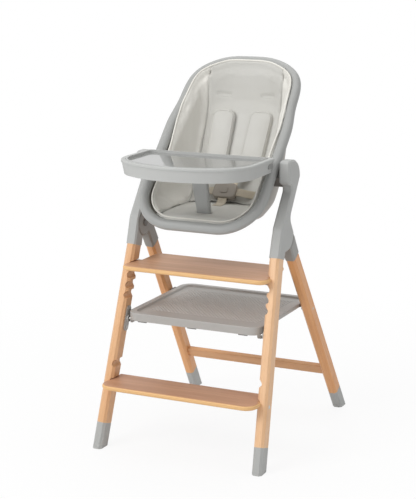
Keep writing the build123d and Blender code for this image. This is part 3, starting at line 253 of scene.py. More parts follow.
def moulded_effect():
    """Fine spark-eroded grain with a slow drift in tone and gloss."""
    given = (("Place", "Vector"), ("Base", "Color"), ("Gloss", "Float"), ("Drift", "Float"))
    tree, take, give = effect("moulded_grain", given, FINISH)
    slow = noise(tree, take["Place"], 7.0, 3.0)
    fine = noise(tree, take["Place"], SPARK_SCALE)
    lean = sums(tree, "MULTIPLY", sums(tree, "SUBTRACT", slow, 0.5), take["Drift"])
    speck = sums(tree, "MULTIPLY", sums(tree, "SUBTRACT", fine, 0.5), 0.10)
    shade = sums(tree, "ADD", 1.0, sums(tree, "ADD", lean, speck))
    tone_node = put(tree, "HueSaturation", ("Value", shade), ("Color", take["Base"]))
    tree.links.new(tone_node.outputs[0], give["Color"])
    matte = sums(tree, "ADD", take["Gloss"], sums(tree, "MULTIPLY", sums(tree, "SUBTRACT", slow, 0.5), 0.2))
    tree.links.new(matte, give["Roughness"])
    tree.links.new(fine, give["Height"])
    return tree


def pebble_effect():
    """Pebbled leatherette: rounded cells with fine pores, a slow drift in tone, and painted shade in the
    hollow colour along the cells' edges.
    """
    given = (("Place", "Vector"), ("Base", "Color"), ("Hollow", "Color"))
    tree, take, give = effect("pebble_grain", given, FINISH)
    bent = noise(tree, take["Place"], 260.0)
    cell_feeds = (("Vector", take["Place"]), ("Scale", PEBBLE_SCALE))
    cells = put(tree, "TexVoronoi", *cell_feeds, feature="DISTANCE_TO_EDGE").outputs[0]
    domed = spread(tree, cells, 0.0, 0.22)
    slow = noise(tree, take["Place"], 11.0, 3.0)
    body = tint(tree, spread(tree, slow, 0.3, 0.72, 0.0, 0.45), take["Base"], take["Hollow"])
    # painted shade: the hollow colour laid along the cells' edges
    hollow_shade = tint(tree, spread(tree, domed, 0.0, 0.6, 0.22, 0.0), body, take["Hollow"])
    tree.links.new(hollow_shade, give["Color"])
    tree.links.new(spread(tree, bent, 0.3, 0.7, 0.46, 0.6), give["Roughness"])
    tree.links.new(sums(tree, "ADD", domed, sums(tree, "MULTIPLY", bent, 0.3)), give["Height"])
    return tree


def weave_effect():
    """Woven tape on its own map, in metres: ribs across the tape crossed by twill lines."""
    given = (("Map", "Vector"), ("Base", "Color"), ("Shade", "Color"))
    tree, take, give = effect("tape_weave", given, FINISH)
    rib_feeds = (("Vector", take["Map"]), ("Scale", RIB_SCALE))
    ribs = put(tree, "TexWave", *rib_feeds, bands_direction="X").outputs[1]
    twill_feeds = (("Vector", take["Map"]), ("Scale", TWILL_SCALE), ("Distortion", 0.4))
    twill = put(tree, "TexWave", *twill_feeds, bands_direction="DIAGONAL").outputs[1]
    raised = sums(tree, "MULTIPLY", ribs, sums(tree, "ADD", 0.4, twill))
    tree.links.new(tint(tree, spread(tree, raised, 0.0, 1.2), take["Shade"], take["Base"]), give["Color"])
    tree.links.new(spread(tree, twill, 0.0, 1.0, 0.7, 0.86), give["Roughness"])
    tree.links.new(raised, give["Height"])
    return tree


WOOD = wood_effect()
MOULDED = moulded_effect()
PEBBLE = pebble_effect()
WEAVE = weave_effect()


def start_finish(name):
    """A new material, with its tree and its shader."""
    material = bpy.data.materials.new(name)
    material.use_nodes = True
    return material, material.node_tree, material.node_tree.nodes["Principled BSDF"]


def wear(tree, shader, source, relief, strength):
    """Feeds an effect's colour, roughness and relief to a shader."""
    tree.links.new(source.outputs["Color"], shader.inputs["Base Color"])
    tree.links.new(source.outputs["Roughness"], shader.inputs["Roughness"])
    raise_by(tree, shader, source, relief, strength)


def raise_by(tree, shader, source, relief, strength):
    """Feeds an effect's relief to a shader."""
    feeds = (("Strength", strength), ("Distance", relief), ("Height", source.outputs["Height"]))
    tree.links.new(put(tree, "Bump", *feeds).outputs[0], shader.inputs["Normal"])


def tune(material, values):
    """Sets inputs of a material's shader."""
    for label, value in values.items():
        material.node_tree.nodes["Principled BSDF"].inputs[label].default_value = value
    return material


def placed(tree, turn=(0.0, 0.0, 0.0)):
    """Object coordinates, turned where the grain follows a leaning piece."""
    place = put(tree, "TexCoord").outputs["Object"]
    return put(tree, "Mapping", ("Vector", place), ("Rotation", turn)).outputs[0]


def beech(name, turn, light, dark):
    """Lacquered beech with its grain along a turned axis."""
    material, tree, shader = start_finish(name)
    feeds = (("Along", placed(tree, turn)), ("Light", light), ("Dark", dark), ("Figure", 0.75))
    wear(tree, shader, put(tree, "Group", *feeds, node_tree=WOOD), relief=0.0003, strength=0.25)
    return tune(material, {"Coat Weight": 0.12, "Coat Roughness": 0.3})


def board(name, turn, low, thick, light, dark):
    """Plywood board: veneer on its flat faces and banded layers round its edge."""
    material, tree, shader = start_finish(name)
    along = placed(tree, turn)
    face_feeds = (("Along", along), ("Light", light), ("Dark", dark), ("Figure", 0.8))
    face = put(tree, "Group", *face_feeds, node_tree=WOOD)
    edge_feeds = (("Along", along), ("Light", PLY_LIGHT), ("Dark", PLY_DARK), ("Figure", 0.5))
    edge = put(tree, "Group", *edge_feeds, node_tree=WOOD)
    coords = put(tree, "TexCoord")
    height = put(tree, "SeparateXYZ", (0, coords.outputs["Object"])).outputs[2]
    turned = put(tree, "SeparateXYZ", (0, coords.outputs["Normal"])).outputs[2]
    layer = sums(tree, "MULTIPLY", sums(tree, "SUBTRACT", height, low), PLY_LAYERS * pi / thick)
    band = spread(tree, sums(tree, "SINE", layer, 0.0), -0.6, 0.6, 0.0, 0.3)
    banded = tint(tree, band, edge.outputs["Color"], PLY_GLUE)
    flat = spread(tree, sums(tree, "ABSOLUTE", turned, 0.0), 0.72, 0.9)
    colour = tint(tree, flat, banded, face.outputs["Color"])
    tree.links.new(colour, shader.inputs["Base Color"])
    tree.links.new(face.outputs["Roughness"], shader.inputs["Roughness"])
    raise_by(tree, shader, face, relief=0.0003, strength=0.2)
    return tune(material, {"Specular IOR Level": 0.3})


def moulded(name, base, gloss, drift=0.12, strength=0.18):
    """Moulded plastic of one base colour."""
    material, tree, shader = start_finish(name)
    feeds = (("Place", placed(tree)), ("Base", base), ("Gloss", gloss), ("Drift", drift))
    wear(tree, shader, put(tree, "Group", *feeds, node_tree=MOULDED), relief=0.0002, strength=strength)
    return material


def paint_wall_highlight(material, wall_highlight, floor):
    """Painted highlight: the moulded base colour by slope, one lighter colour on upright faces standing in
    for the light that catches them, going over to another on level ones.
    """
    tree = material.node_tree
    normal = put(tree, "TexCoord").outputs["Normal"]
    level = put(tree, "SeparateXYZ", (0, normal)).outputs[2]
    group = next(node for node in tree.nodes if node.type == "GROUP")
    tree.links.new(tint(tree, spread(tree, level, 0.35, 0.9), wall_highlight, floor), group.inputs["Base"])


def leatherette(name, base, hollow):
    """Soft-touch leatherette."""
    material, tree, shader = start_finish(name)
    feeds = (("Place", placed(tree)), ("Base", base), ("Hollow", hollow))
    wear(tree, shader, put(tree, "Group", *feeds, node_tree=PEBBLE), relief=0.00025, strength=0.22)
    return tune(material, {"Sheen Weight": 0.05})


def webbing(name, base, shade):
    """Woven harness tape."""
    material, tree, shader = start_finish(name)
    place = put(tree, "TexCoord").outputs["UV"]
    feeds = (("Map", place), ("Base", base), ("Shade", shade))
    wear(tree, shader, put(tree, "Group", *feeds, node_tree=WEAVE), relief=0.0004, strength=0.5)
    return tune(material, {"Sheen Weight": 0.15})


def plated(name, base):
    """Zinc-plated steel, a little uneven in its gloss."""
    material, tree, shader = start_finish(name)
    feeds = (("Place", placed(tree)), ("Base", base), ("Gloss", 0.34), ("Drift", 0.3))
    wear(tree, shader, put(tree, "Group", *feeds, node_tree=MOULDED), relief=0.0001, strength=0.2)
    return tune(material, {"Metallic": 1.0})


LINER_FLOOR = srgb(138, 139, 137)
# Painted highlight for the liner's upright walls, lighter than its own colour
LINER_WALL_HIGHLIGHT = srgb(184, 185, 183)
PLY_LIGHT = srgb(242, 200, 144)
PLY_DARK = srgb(226, 178, 122)
PLY_GLUE = srgb(196, 142, 88)
PLY_LAYERS = 7.0
FRONT_TURN = (radians(17.1), 0.0, 0.0)
REAR_TURN = (radians(-32.8), 0.0, 0.0)
CROSS_TURN = (0.0, radians(90.0), 0.0)

# Painted shade: the left front leg wears a darker copy of the right front leg's beech
left_beech_shaded = beech("left_beech_shaded", FRONT_TURN, srgb(233, 188, 143), srgb(211, 158, 110))
front_beech = beech("front_beech", FRONT_TURN, srgb(242, 201, 160), srgb(220, 171, 124))
# Painted shade: the rear legs and the crossbar wear darker copies of the beech, standing in for the shade
# under the seat
rear_beech_shaded = beech("rear_beech_shaded", REAR_TURN, srgb(236, 178, 122), srgb(212, 147, 93))
bar_beech_shaded = beech("bar_beech_shaded", CROSS_TURN, srgb(224, 172, 124), srgb(200, 144, 97))
footrest_low, footrest_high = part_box("footrest_board")
step_low, step_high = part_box("step_board")
# Painted light: the footrest's veneer is a lighter copy of the step's, offsetting the shade under the tray
# and seat
footrest_ply_lit = board("footrest_ply_lit", CROSS_TURN, footrest_low.z, footrest_high.z - footrest_low.z,
                     srgb(224, 176, 140), srgb(197, 150, 116))
step_ply = board("step_ply", CROSS_TURN, step_low.z, step_high.z - step_low.z,
                 srgb(210, 161, 128), srgb(183, 135, 105))
grey_plastic = moulded("grey_plastic", srgb(172, 173, 171), 0.5)
# Painted shade: the seat rim wears a darker copy of the grey plastic, standing in for shade on its top and
# right side
rim_plastic_shaded = moulded("rim_plastic_shaded", srgb(160, 161, 159), 0.5)
tray_plastic = tune(moulded("tray_plastic", srgb(187, 188, 186), 0.7), {"Specular IOR Level": 0.05})
button_plastic = moulded("button_plastic", srgb(146, 146, 144), 0.5)
dark_plastic = moulded("dark_plastic", srgb(112, 110, 107), 0.5)
platform_plastic = moulded("platform_plastic", srgb(174, 171, 167), 0.5)
# Painted light: the tread is a lighter copy of the platform plastic, offsetting the footrest's shade over
# the platform
tread_plastic_lit = moulded("tread_plastic_lit", srgb(188, 186, 183), 0.5)
shell_plastic = moulded("shell_plastic", srgb(164, 159, 151), 0.48)
buckle_plastic = moulded("buckle_plastic", srgb(146, 138, 128), 0.42)
# Painted shade: the rear sockets wear a darker copy of the grey plastic, for the shade on their inner faces
socket_plastic_shaded = moulded("socket_plastic_shaded", srgb(154, 153, 150), 0.5)
tongue_plastic = moulded("tongue_plastic", srgb(205, 194, 172), 0.45)
tray_gloss = moulded("tray_gloss", LINER_FLOOR, 0.1, drift=0.05, strength=0.02)
tune(tray_gloss, {"Coat Weight": 0.2, "Coat Roughness": 0.05})
# painted highlight on the liner's upright walls
paint_wall_highlight(tray_gloss, LINER_WALL_HIGHLIGHT, LINER_FLOOR)
pad_leather = leatherette("pad_leather", srgb(200, 199, 194), srgb(185, 183, 176))
side_leather = leatherette("side_leather", srgb(228, 226, 220), srgb(212, 209, 201))
piping_leather = leatherette("piping_leather", srgb(230, 228, 221), srgb(214, 210, 201))
tape_web = webbing("tape_web", srgb(203, 194, 177), srgb(174, 163, 144))
steel = plated("steel", srgb(190, 190, 188))

# What each solid wears
DRESS = {
    left_beech_shaded: ("front_leg_left",),
    front_beech: ("front_leg_right",),
    rear_beech_shaded: ("rear_leg_left", "rear_leg_right"),
    bar_beech_shaded: ("crossbar",),
    footrest_ply_lit: ("footrest_board",),
    step_ply: ("step_board",),
    grey_plastic: ("front_boot_left", "front_boot_right", "rear_boot_left", "rear_boot_right",
                   "side_hub_left", "side_hub_right", "footrest_brackets", "step_brackets", "crotch_post",
                   "tray_arm_left", "tray_arm_right"),
    socket_plastic_shaded: ("rear_socket_left", "rear_socket_right"),
    rim_plastic_shaded: ("seat_rim",),
    tray_plastic: ("tray",),
    dark_plastic: ("fold_button_left", "fold_button_right", "platform_hooks", "platform_tabs",
                   "seat_lug_left", "seat_lug_right", "recline_housing", "recline_handle"),
    button_plastic: ("tray_button_left", "tray_button_right"),
    platform_plastic: ("platform", "platform_hinge_left", "platform_hinge_right"),
    shell_plastic: ("seat_shell",),
    buckle_plastic: ("buckle_body", "buckle_button"),
    tongue_plastic: ("buckle_tongues",),
    steel: ("fold_pins", "step_bolts", "platform_pins", "hinge_screws", "platform_studs"),
    tray_gloss: ("tray_liner",),
}
for finish, names in DRESS.items():
    for name in names:
        nodes[name].data.materials.clear()
        nodes[name].data.materials.append(finish)


# Shapes
def mesh_points(mesh):
    """A mesh's points as an array."""
    points = np.empty(len(mesh.vertices) * 3, np.float32)
    mesh.vertices.foreach_get("co", points)
    return points.reshape(-1, 3).astype(float)


def mesh_normals(mesh):
    """The normals at a mesh's points as an array."""
    normals = np.empty(len(mesh.vertices) * 3, np.float32)
    mesh.vertex_normals.foreach_get("vector", normals)
    return normals.reshape(-1, 3).astype(float)


def mesh_corners(mesh):
    """The point that each face corner of a mesh is at."""
    corners = np.empty(len(mesh.loops), np.int32)
    mesh.loops.foreach_get("vertex_index", corners)
    return corners


def set_points(mesh, points):
    """Moves a mesh's points."""
    mesh.vertices.foreach_set("co", points.astype(np.float32).ravel())
    mesh.update()


def new_piece(name, points, faces, finish, body, smooth=True, chart=None):
    """A mesh object from its points and faces; chart is the point of each corner on its map."""
    mesh = bpy.data.meshes.new(name)
    mesh.from_pydata(np.asarray(points, float).reshape(-1, 3), [], [tuple(f) for f in faces])
    if chart is not None:
        layer = mesh.uv_layers.new(name="map")
        layer.data.foreach_set("uv", np.asarray(chart, np.float32)[mesh_corners(mesh)].ravel())
    mesh.polygons.foreach_set("use_smooth", np.full(len(mesh.polygons), smooth))
    mesh.materials.append(finish)
    mesh.update()
    piece = bpy.data.objects.new(name, mesh)
    scene.collection.objects.link(piece)
    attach(piece, body)
    return piece


def carried(path, across, over, profile, closed):
    """A closed profile carried along a path: each path point plus the profile's share of its two cross
    directions. Returns the points and the faces, with one face at each end of an open path."""
    points = path[:, None] + profile[None, :, :1] * across[:, None] + profile[None, :, 1:] * over[:, None]
    rows, columns = points.shape[:2]
    r = np.arange(rows if closed else rows - 1)[:, None]
    c = np.arange(columns)[None, :]
    row, next_row = r * columns, (r + 1) % rows * columns
    next_c = (c + 1) % columns
    faces = np.stack([row + c, row + next_c, next_row + next_c, next_row + c], -1).reshape(-1, 4).tolist()
    if not closed:
        faces += [list(range(columns))[::-1], list(range((rows - 1) * columns, rows * columns))]
    return points.reshape(-1, 3), faces


def ring(radius, count):
    """Round profile, clockwise as the tape's is, so that its faces point outwards."""
    turn = -np.arange(count) * 2 * pi / count
    return np.stack([np.cos(turn), np.sin(turn)], 1) * radius


def unit(vectors):
    """Each vector over its length."""
    return vectors / np.linalg.norm(vectors, axis=-1, keepdims=True)


def loop_way(path):
    """Unit direction along a closed path at each of its points."""
    return unit(np.roll(path, -1, 0) - np.roll(path, 1, 0))


def run_length(path):
    """Length of a path from its start to each of its points."""
    return np.concatenate([[0], np.cumsum(np.linalg.norm(np.diff(path, axis=0), axis=1))])


def evenly(line, count, closed=False):
    """The same line with its points evenly spaced by length."""
    line = np.vstack([line, line[:1]]) if closed else line
    step = run_length(line)
    at = np.linspace(0, step[-1], count, endpoint=not closed)
    return np.stack([np.interp(at, step, line[:, i]) for i in range(line.shape[1])], 1)


def eased(corners, rounds=3):
    """Corners cut again and again, each point moved a quarter along its runs, to a smooth line."""
    line = np.asarray(corners, float)
    for _ in range(rounds):
        cut = np.stack([0.75 * line[:-1] + 0.25 * line[1:], 0.25 * line[:-1] + 0.75 * line[1:]], 1)
        line = np.vstack([line[:1], cut.reshape(-1, line.shape[1]), line[-1:]])
    return line


def rim_loop(count):
    """Rim's centre line in its own plane: flat foot, corner arcs, straight sides and a Hermite curve on top.
    Returns the points and the unit direction towards the middle at each."""
    turn = np.linspace(-pi / 2, 0, CURVE_COUNT)
    arc_x = RIM_HALF - RIM_CORNER + RIM_CORNER * np.cos(turn)
    arc = np.stack([arc_x, RIM_CORNER + RIM_CORNER * np.sin(turn)], 1)
    upper = np.array([(RIM_HALF * x, RIM_SIDE + (RIM_LENGTH - RIM_SIDE) * y) for x, y in UPPER_CURVE])
    knots = np.vstack([(RIM_HALF, RIM_SIDE), upper, (0.0, RIM_LENGTH)])
    span = np.linalg.norm(np.diff(knots, axis=0), axis=1)
    slopes = np.vstack([(0.0, 1.0), (knots[2:] - knots[:-2]) / (span[:-1] + span[1:])[:, None], (-1.0, 0.0)])
    s = np.linspace(0, 1, CURVE_COUNT)[None, :, None]
    start, stop = knots[:-1, None], knots[1:, None]
    pull, push = slopes[:-1, None] * span[:, None, None], slopes[1:, None] * span[:, None, None]
    curve = ((2 * s**3 - 3 * s**2 + 1) * start + (s**3 - 2 * s**2 + s) * pull
             + (3 * s**2 - 2 * s**3) * stop + (s**3 - s**2) * push)
    right = np.vstack([[(0.0, 0.0)], arc, curve.reshape(-1, 2)])
    loop = evenly(np.vstack([right, (right * (-1, 1))[-2:0:-1]]), count, True)
    along = loop_way(loop)
    return loop, np.stack([-along[:, 1], along[:, 0]], 1)


def on_seat(flat, out):
    """Points of the rim's plane, raised from it by out, in the object's frame."""
    flat = np.asarray(flat, float)
    out = np.broadcast_to(np.asarray(out, float), flat.shape[:-1])
    return SEAT_FOOT + flat[..., :1] * X_WAY + flat[..., 1:] * RIM_UP + out[..., None] * RIM_OUT


LOOP, INWARD = rim_loop(LOOP_COUNT)
BACK_UP = unit(np.array([0.0, 61.2951, 134.4021]))  # up the back cushion
BACK_OUT = np.array([0.0, -BACK_UP[2], BACK_UP[1]])


def faces_front(points, normals):
    """How far a normal faces out of the back cushion."""
    return normals @ BACK_OUT


def over_rim(points):
    """Place of points round the rim tube: nearest loop point, distance, and angle from the inward side
    to the front."""
    local = points - SEAT_FOOT
    flat = np.stack([local[:, 0], local @ RIM_UP], 1)
    out = local @ RIM_OUT
    near = np.argmin(((flat[:, None] - LOOP[None]) ** 2).sum(-1), 1)
    inner = ((flat - LOOP[near]) * INWARD[near]).sum(1)
    return near, np.hypot(inner, out), np.arctan2(out, inner)


def back_on_rim(near, reach, angle):
    """Points from their place round the rim tube."""
    flat = LOOP[near] + INWARD[near] * (reach * np.cos(angle))[:, None]
    return on_seat(flat, reach * np.sin(angle))


def drawn_back(angle):
    """Angle round the rim, with the padding's turn over it drawn back to a share of it."""
    return np.where((angle > 0) & (angle < LIP_TURN), angle * LIP_SHARE, angle)


def held_off(up):
    """Gap between the padding's edge and the rim at a place up the rim: full low down and closed above."""
    return HOLD_OFF * np.clip((HOLD_TOP - up) / HOLD_FADE, 0, 1)


def tuck_edge(points, normals):
    """Padding's edge: its turn over the rim is drawn back to a share of it,
    and lower down it is held off the rim, as its board stops short there.
    Its seams are let out to meet, its foot reaches down to the seat cushion,
    and the thin middle of the back gets its stuffing."""
    x, y, z = points.T
    seam = np.abs(x) - PAD_SEAM
    let = np.where(over_rim(points)[1] < LIP_REACH, LIP_SEAM_LET, SEAM_LET)
    shift = np.where(np.abs(seam) < SEAM_NEAR, -np.sign(seam) * let * np.sign(x), 0.0)
    is_foot = (normals[:, 2] < FOOT_FACING) & (z < FOOT_TOP) & (y > FOOT_FRONT)
    drop = np.where(is_foot, -FOOT_LET, 0.0)
    points = points + shift[:, None] * X_WAY + drop[:, None] * Z_WAY
    out = faces_front(points, normals)
    middle = np.abs(points[:, 0]) < PAD_SEAM + BACK_EDGE
    middle = middle & (over_rim(points)[1] > LIP_REACH) & (out > STUFFED_FACING) & (y > 0.0)
    points = points + np.where(middle, BACK_STUFFING, 0.0)[:, None] * BACK_OUT
    near, reach, angle = over_rim(points)
    fade = np.clip((LIP_REACH - reach) / HOLD_DEPTH, 0, 1)
    hold = held_off(LOOP[near][:, 1]) * fade * (angle > HOLD_TURN)
    moved = back_on_rim(near, reach + hold, drawn_back(angle))
    return np.where((reach < LIP_REACH)[:, None], moved, points)


# Padding
def applied(piece):
    """The piece's mesh with its modifiers taken in, in place of its own."""
    depsgraph = bpy.context.evaluated_depsgraph_get()
    made = bpy.data.meshes.new_from_object(piece.evaluated_get(depsgraph))
    piece.modifiers.clear()
    piece.data = made
    return made


def settle(mesh, rounds):
    """Smooths without shrinking: each point goes to the mean of its neighbours, then a little back."""
    edges = np.empty(len(mesh.edges) * 2, np.int32)
    mesh.edges.foreach_get("vertices", edges)
    first, second = edges.reshape(-1, 2).T
    points = mesh_points(mesh)
    count = np.bincount(first, minlength=len(points)) + np.bincount(second, minlength=len(points))
    for step in (0.5, -0.52) * rounds:
        total = np.stack([np.bincount(first, points[second, i], len(points))
                          + np.bincount(second, points[first, i], len(points)) for i in range(3)], 1)
        points = points + step * (total / np.maximum(count, 1)[:, None] - points)
    set_points(mesh, points)


def soft_copy(name, node, voxel, shape=None):
    """A merged copy of a soft solid, reshaped where asked and remeshed evenly."""
    mesh = nodes[node].data.copy()
    mesh.materials.clear()
    work = bmesh.new()
    work.from_mesh(mesh)
    bmesh.ops.remove_doubles(work, verts=work.verts, dist=2e-5)
    bmesh.ops.recalc_face_normals(work, faces=work.faces)
    work.to_mesh(mesh)
    work.free()
    piece = bpy.data.objects.new(name, mesh)
    scene.collection.objects.link(piece)
    if shape is not None:
        set_points(mesh, shape(mesh_points(mesh), mesh_normals(mesh)))
    remesh = piece.modifiers.new("even", "REMESH")
    remesh.mode = "VOXEL"
    remesh.voxel_size = voxel
    applied(piece)
    return piece


def blow_up(piece, held, cap, pressure):
    """Fills the cover: cloth under pressure with its backing held, and no point moved further than cap."""
    mesh = piece.data
    before = mesh_points(mesh)
    group = piece.vertex_groups.new(name="held")
    group.add(np.flatnonzero(held).tolist(), 1.0, "REPLACE")
    cloth = piece.modifiers.new("cover", "CLOTH")
    cloth.settings.use_pressure = True
    cloth.settings.uniform_pressure_force = pressure
    cloth.settings.vertex_group_mass = "held"
    cloth.settings.quality = 5
    cloth.settings.mass = 0.25
    cloth.settings.tension_stiffness = 20.0
    cloth.settings.compression_stiffness = 20.0
    cloth.settings.bending_stiffness = 2.0
    cloth.settings.effector_weights.gravity = 0.0
    cloth.collision_settings.use_collision = False
    cloth.point_cache.frame_start = 1
    cloth.point_cache.frame_end = CLOTH_FRAMES
    for moment in range(1, CLOTH_FRAMES + 1):
        scene.frame_set(moment)
    made = applied(piece)
    scene.frame_set(1)
    move = mesh_points(made) - before
    length = np.linalg.norm(move, axis=1, keepdims=True)
    set_points(made, before + move * np.minimum(1.0, cap / np.maximum(length, 1e-9)))


def upholster(name, node, finish, voxel, inside, cap, shape=None, pressure=4.0):
    """A padded piece in place of its soft solid. inside gives how far a normal faces the sitter,
    and cap is the furthest that the filling moves a point."""
    piece = soft_copy(name, node, voxel, shape)
    settle(piece.data, 4)
    points, normals = mesh_points(piece.data), mesh_normals(piece.data)
    set_points(piece.data, points - normals * COVER_SLIM)
    blow_up(piece, inside(points, normals) < HELD_FACING, cap, pressure)
    settle(piece.data, 6)
    mesh = piece.data
    mesh.polygons.foreach_set("use_smooth", np.full(len(mesh.polygons), True))
    mesh.materials.clear()
    mesh.materials.append(finish)
    smooth = piece.modifiers.new("smooth", "SUBSURF")
    smooth.levels = 1
    smooth.render_levels = 1
    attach(piece, "seat")
    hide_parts(node)
    return piece


def faces_up(points, normals):
    """How far a normal faces up."""
    return normals[:, 2]


def faces_middle(points, normals):
    """How far a normal of a side cushion faces the middle and the front."""
    way = np.tile(SIDE_FACING, (len(points), 1))
    way[:, 0] *= np.sign(points[:, 0])
    return (unit(way) * normals).sum(1)


def lean(side, points):
    """Sideways move of a sleeve, its tape and its piping: a share of the way down from the sleeve's top."""
    down = np.clip(SLEEVE_HALF - (points - SLEEVE_MIDDLE) @ BACK_UP, 0.0, 2 * SLEEVE_HALF)
    return points + (SLEEVE_LEAN[side] * down)[:, None] * X_WAY


def stuffed(side):
    """A sleeve's reshaping: its front stands further out, and it leans as the tape in it does."""
    def shape(points, normals):
        out = np.where(normals @ BACK_OUT > STUFFED_FACING, SLEEVE_STUFFING, 0.0)
        return lean(side, points + out[:, None] * BACK_OUT)
    return shape


def press_slots(mesh):
    """Free strap slots pressed into the back cushion: a hollow that is deepest along its middle line
    and fades over its rounded edge."""
    points = mesh_points(mesh)
    local = points - SLEEVE_MIDDLE
    width, height = SLOT_SIZE
    across = np.maximum(np.abs(np.abs(local[:, 0]) - SLOT_X) - (width - height) / 2, 0.0)
    along = local @ BACK_UP - SLOT_UP
    depth = np.clip(SLOT_SOFT - np.hypot(across, along) / (height / 2), 0.0, 1.0)
    depth = SLOT_DEPTH * depth * depth * (3 - 2 * depth) * (mesh_normals(mesh) @ BACK_OUT > FACING)
    set_points(mesh, points - depth[:, None] * BACK_OUT)


def stuff_top(mesh):
    """Stuffing under the back cushion's upper edge: front points behind the straight line from the edge
    to the flat of the back move most of the way to that line, and less towards the seams."""
    points, normals = mesh_points(mesh), mesh_normals(mesh)
    near, reach, angle = over_rim(points)
    inner, out = reach * np.cos(angle), reach * np.sin(angle)
    front = (normals @ BACK_OUT > FACING) & (points[:, 1] > 0.0)
    foot = front & (np.abs(inner - TOP_FLAT) < TOP_BAND)
    place = near / len(LOOP) - 0.5
    foot_out = np.polyval(np.polyfit(place[foot], out[foot], 4), place)
    slope = (TOP_LIP[1] - foot_out) / (TOP_FLAT - TOP_LIP[0])
    short = np.clip(foot_out + slope * (TOP_FLAT - inner) - out, 0.0, TOP_MOST)
    short = short * (front & (inner > TOP_LIP[0]) & (inner < TOP_FLAT))
    fade = np.clip((PAD_SEAM - np.abs(points[:, 0])) / TOP_FADE, 0.0, 1.0)
    inward = INWARD[near][:, :1] * X_WAY + INWARD[near][:, 1:] * RIM_UP
    step = TOP_SHARE * fade * short / (1.0 + slope)
    set_points(mesh, points + step[:, None] * (inward + RIM_OUT))
    settle(mesh, 3)


def seam_welt(side):
    """Welt in a seam: the flat seam face of the back cushion's solid, set a little below the cushion's front
    and given a thickness across the seam."""
    mesh = nodes["back_pad"].data
    triangles = mesh_corners(mesh).reshape(-1, 3)
    points = mesh_points(mesh)
    on_seam = (points[:, 0] * SIDES[side] > PAD_SEAM - WELT_NEAR)[triangles].all(1)
    corners = np.round(points[triangles[on_seam].ravel()], 6)
    used, faces = np.unique(corners, axis=0, return_inverse=True)
    near, reach, angle = over_rim(used)
    on_rim = back_on_rim(near, reach - WELT_SINK, drawn_back(angle))
    flat = used + (BACK_STUFFING / 2 - WELT_SINK) * BACK_OUT * (used[:, 1:2] > 0.0)
    placed_at = np.where((reach < LIP_REACH)[:, None], on_rim, flat)
    placed_at[:, 0] = SIDES[side] * PAD_SEAM
    faces = faces.reshape(-1, 3)
    welt = new_piece("seam_welt_" + side, placed_at, faces, pad_leather, "seat")
    thick = welt.modifiers.new("thick", "SOLIDIFY")
    thick.thickness = WELT_THICK
    thick.offset = 0.0


back_cushion = upholster("back_cushion", "back_pad", pad_leather, voxel=0.0040, inside=faces_front,
                         cap=0.002, shape=tuck_edge)
stuff_top(back_cushion.data)
press_slots(back_cushion.data)
sleeves = {}
for side in SIDES:
    seam_welt(side)
    upholster("side_cushion_" + side, "side_pad_" + side, side_leather, voxel=0.0045, inside=faces_middle,
              cap=0.004, shape=tuck_edge)
    sleeves[side] = upholster("shoulder_sleeve_" + side, "shoulder_pad_" + side, pad_leather, voxel=0.0032,
                              inside=faces_front, cap=0.005, shape=stuffed(side), pressure=6.0)
upholster("seat_cushion", "seat_pad", pad_leather, voxel=0.0045, inside=faces_up, cap=0.006)


def softened(values, window):
    """Values round a closed loop, each the mean of its neighbours under a raised-cosine window."""
    weight = np.hanning(window + 2)[1:-1]
    count = len(values)
    return np.convolve(np.tile(values, 3), weight / weight.sum(), "same")[count:2 * count]


def edge_piping():
    """Piping round the padding: a round cord carried along the padding's edge,
    which lies beside the rim low down and climbs onto it above the tray."""
    rise = np.clip((LOOP[:, 1] - LIP_START) * LIP_CLIMB / LIP_MIDDLE, 0, 1)
    angle = softened(np.arcsin(rise) * LIP_SHARE, PIPING_WINDOW)
    reach = LIP_MIDDLE + PIPING_OUT + held_off(LOOP[:, 1])
    path = on_seat(LOOP + INWARD * (reach * np.cos(angle))[:, None], reach * np.sin(angle))
    along = loop_way(path)
    across = unit(np.cross(along, RIM_OUT))
    points, faces = carried(path, across, np.cross(across, along), ring(PIPING_RADIUS, 10), closed=True)
    new_piece("edge_piping", points, faces, piping_leather, "seat")


edge_piping()


def rounded_loop(width, height, corner, count):
    """Rounded rectangle, as points from its middle."""
    turn = np.linspace(0, pi / 2, 9)
    arc = np.stack([np.cos(turn), np.sin(turn)], 1) * corner + (width / 2 - corner, height / 2 - corner)
    half = np.vstack([arc, (arc * (-1, 1))[::-1]])
    return evenly(np.vstack([half, -half]), count, True)


def surface_height(piece, middle, flat):
    """Height of a cushion's front over a plane on the back's slope: the mean of the nearest front points."""
    points, normals = mesh_points(piece.data), mesh_normals(piece.data)
    local = (points - middle)[normals @ BACK_OUT > FACING]
    local = local[np.abs(local[:, :2]).max(1) < 0.12]  # only those around, to keep the search short
    plan = np.stack([local[:, 0], local @ BACK_UP], 1)
    gap = ((flat[:, None] - plan[None]) ** 2).sum(-1)
    near = np.argsort(gap, 1)[:, :6]
    return (local @ BACK_OUT)[near].mean(1)


def on_back(middle, flat):
    """Points of a plane on the back's slope, across and up from its middle."""
    return middle + flat[:, :1] * X_WAY + flat[:, 1:] * BACK_UP


def back_cord(name, path, radius, count):
    """A fine cord on a closed path over the back's slope."""
    across = np.cross(loop_way(path), BACK_OUT)
    over = np.broadcast_to(BACK_OUT, path.shape)
    points, faces = carried(path, across, over, ring(radius, count), closed=True)
    new_piece(name, points, faces, pad_leather, "seat")


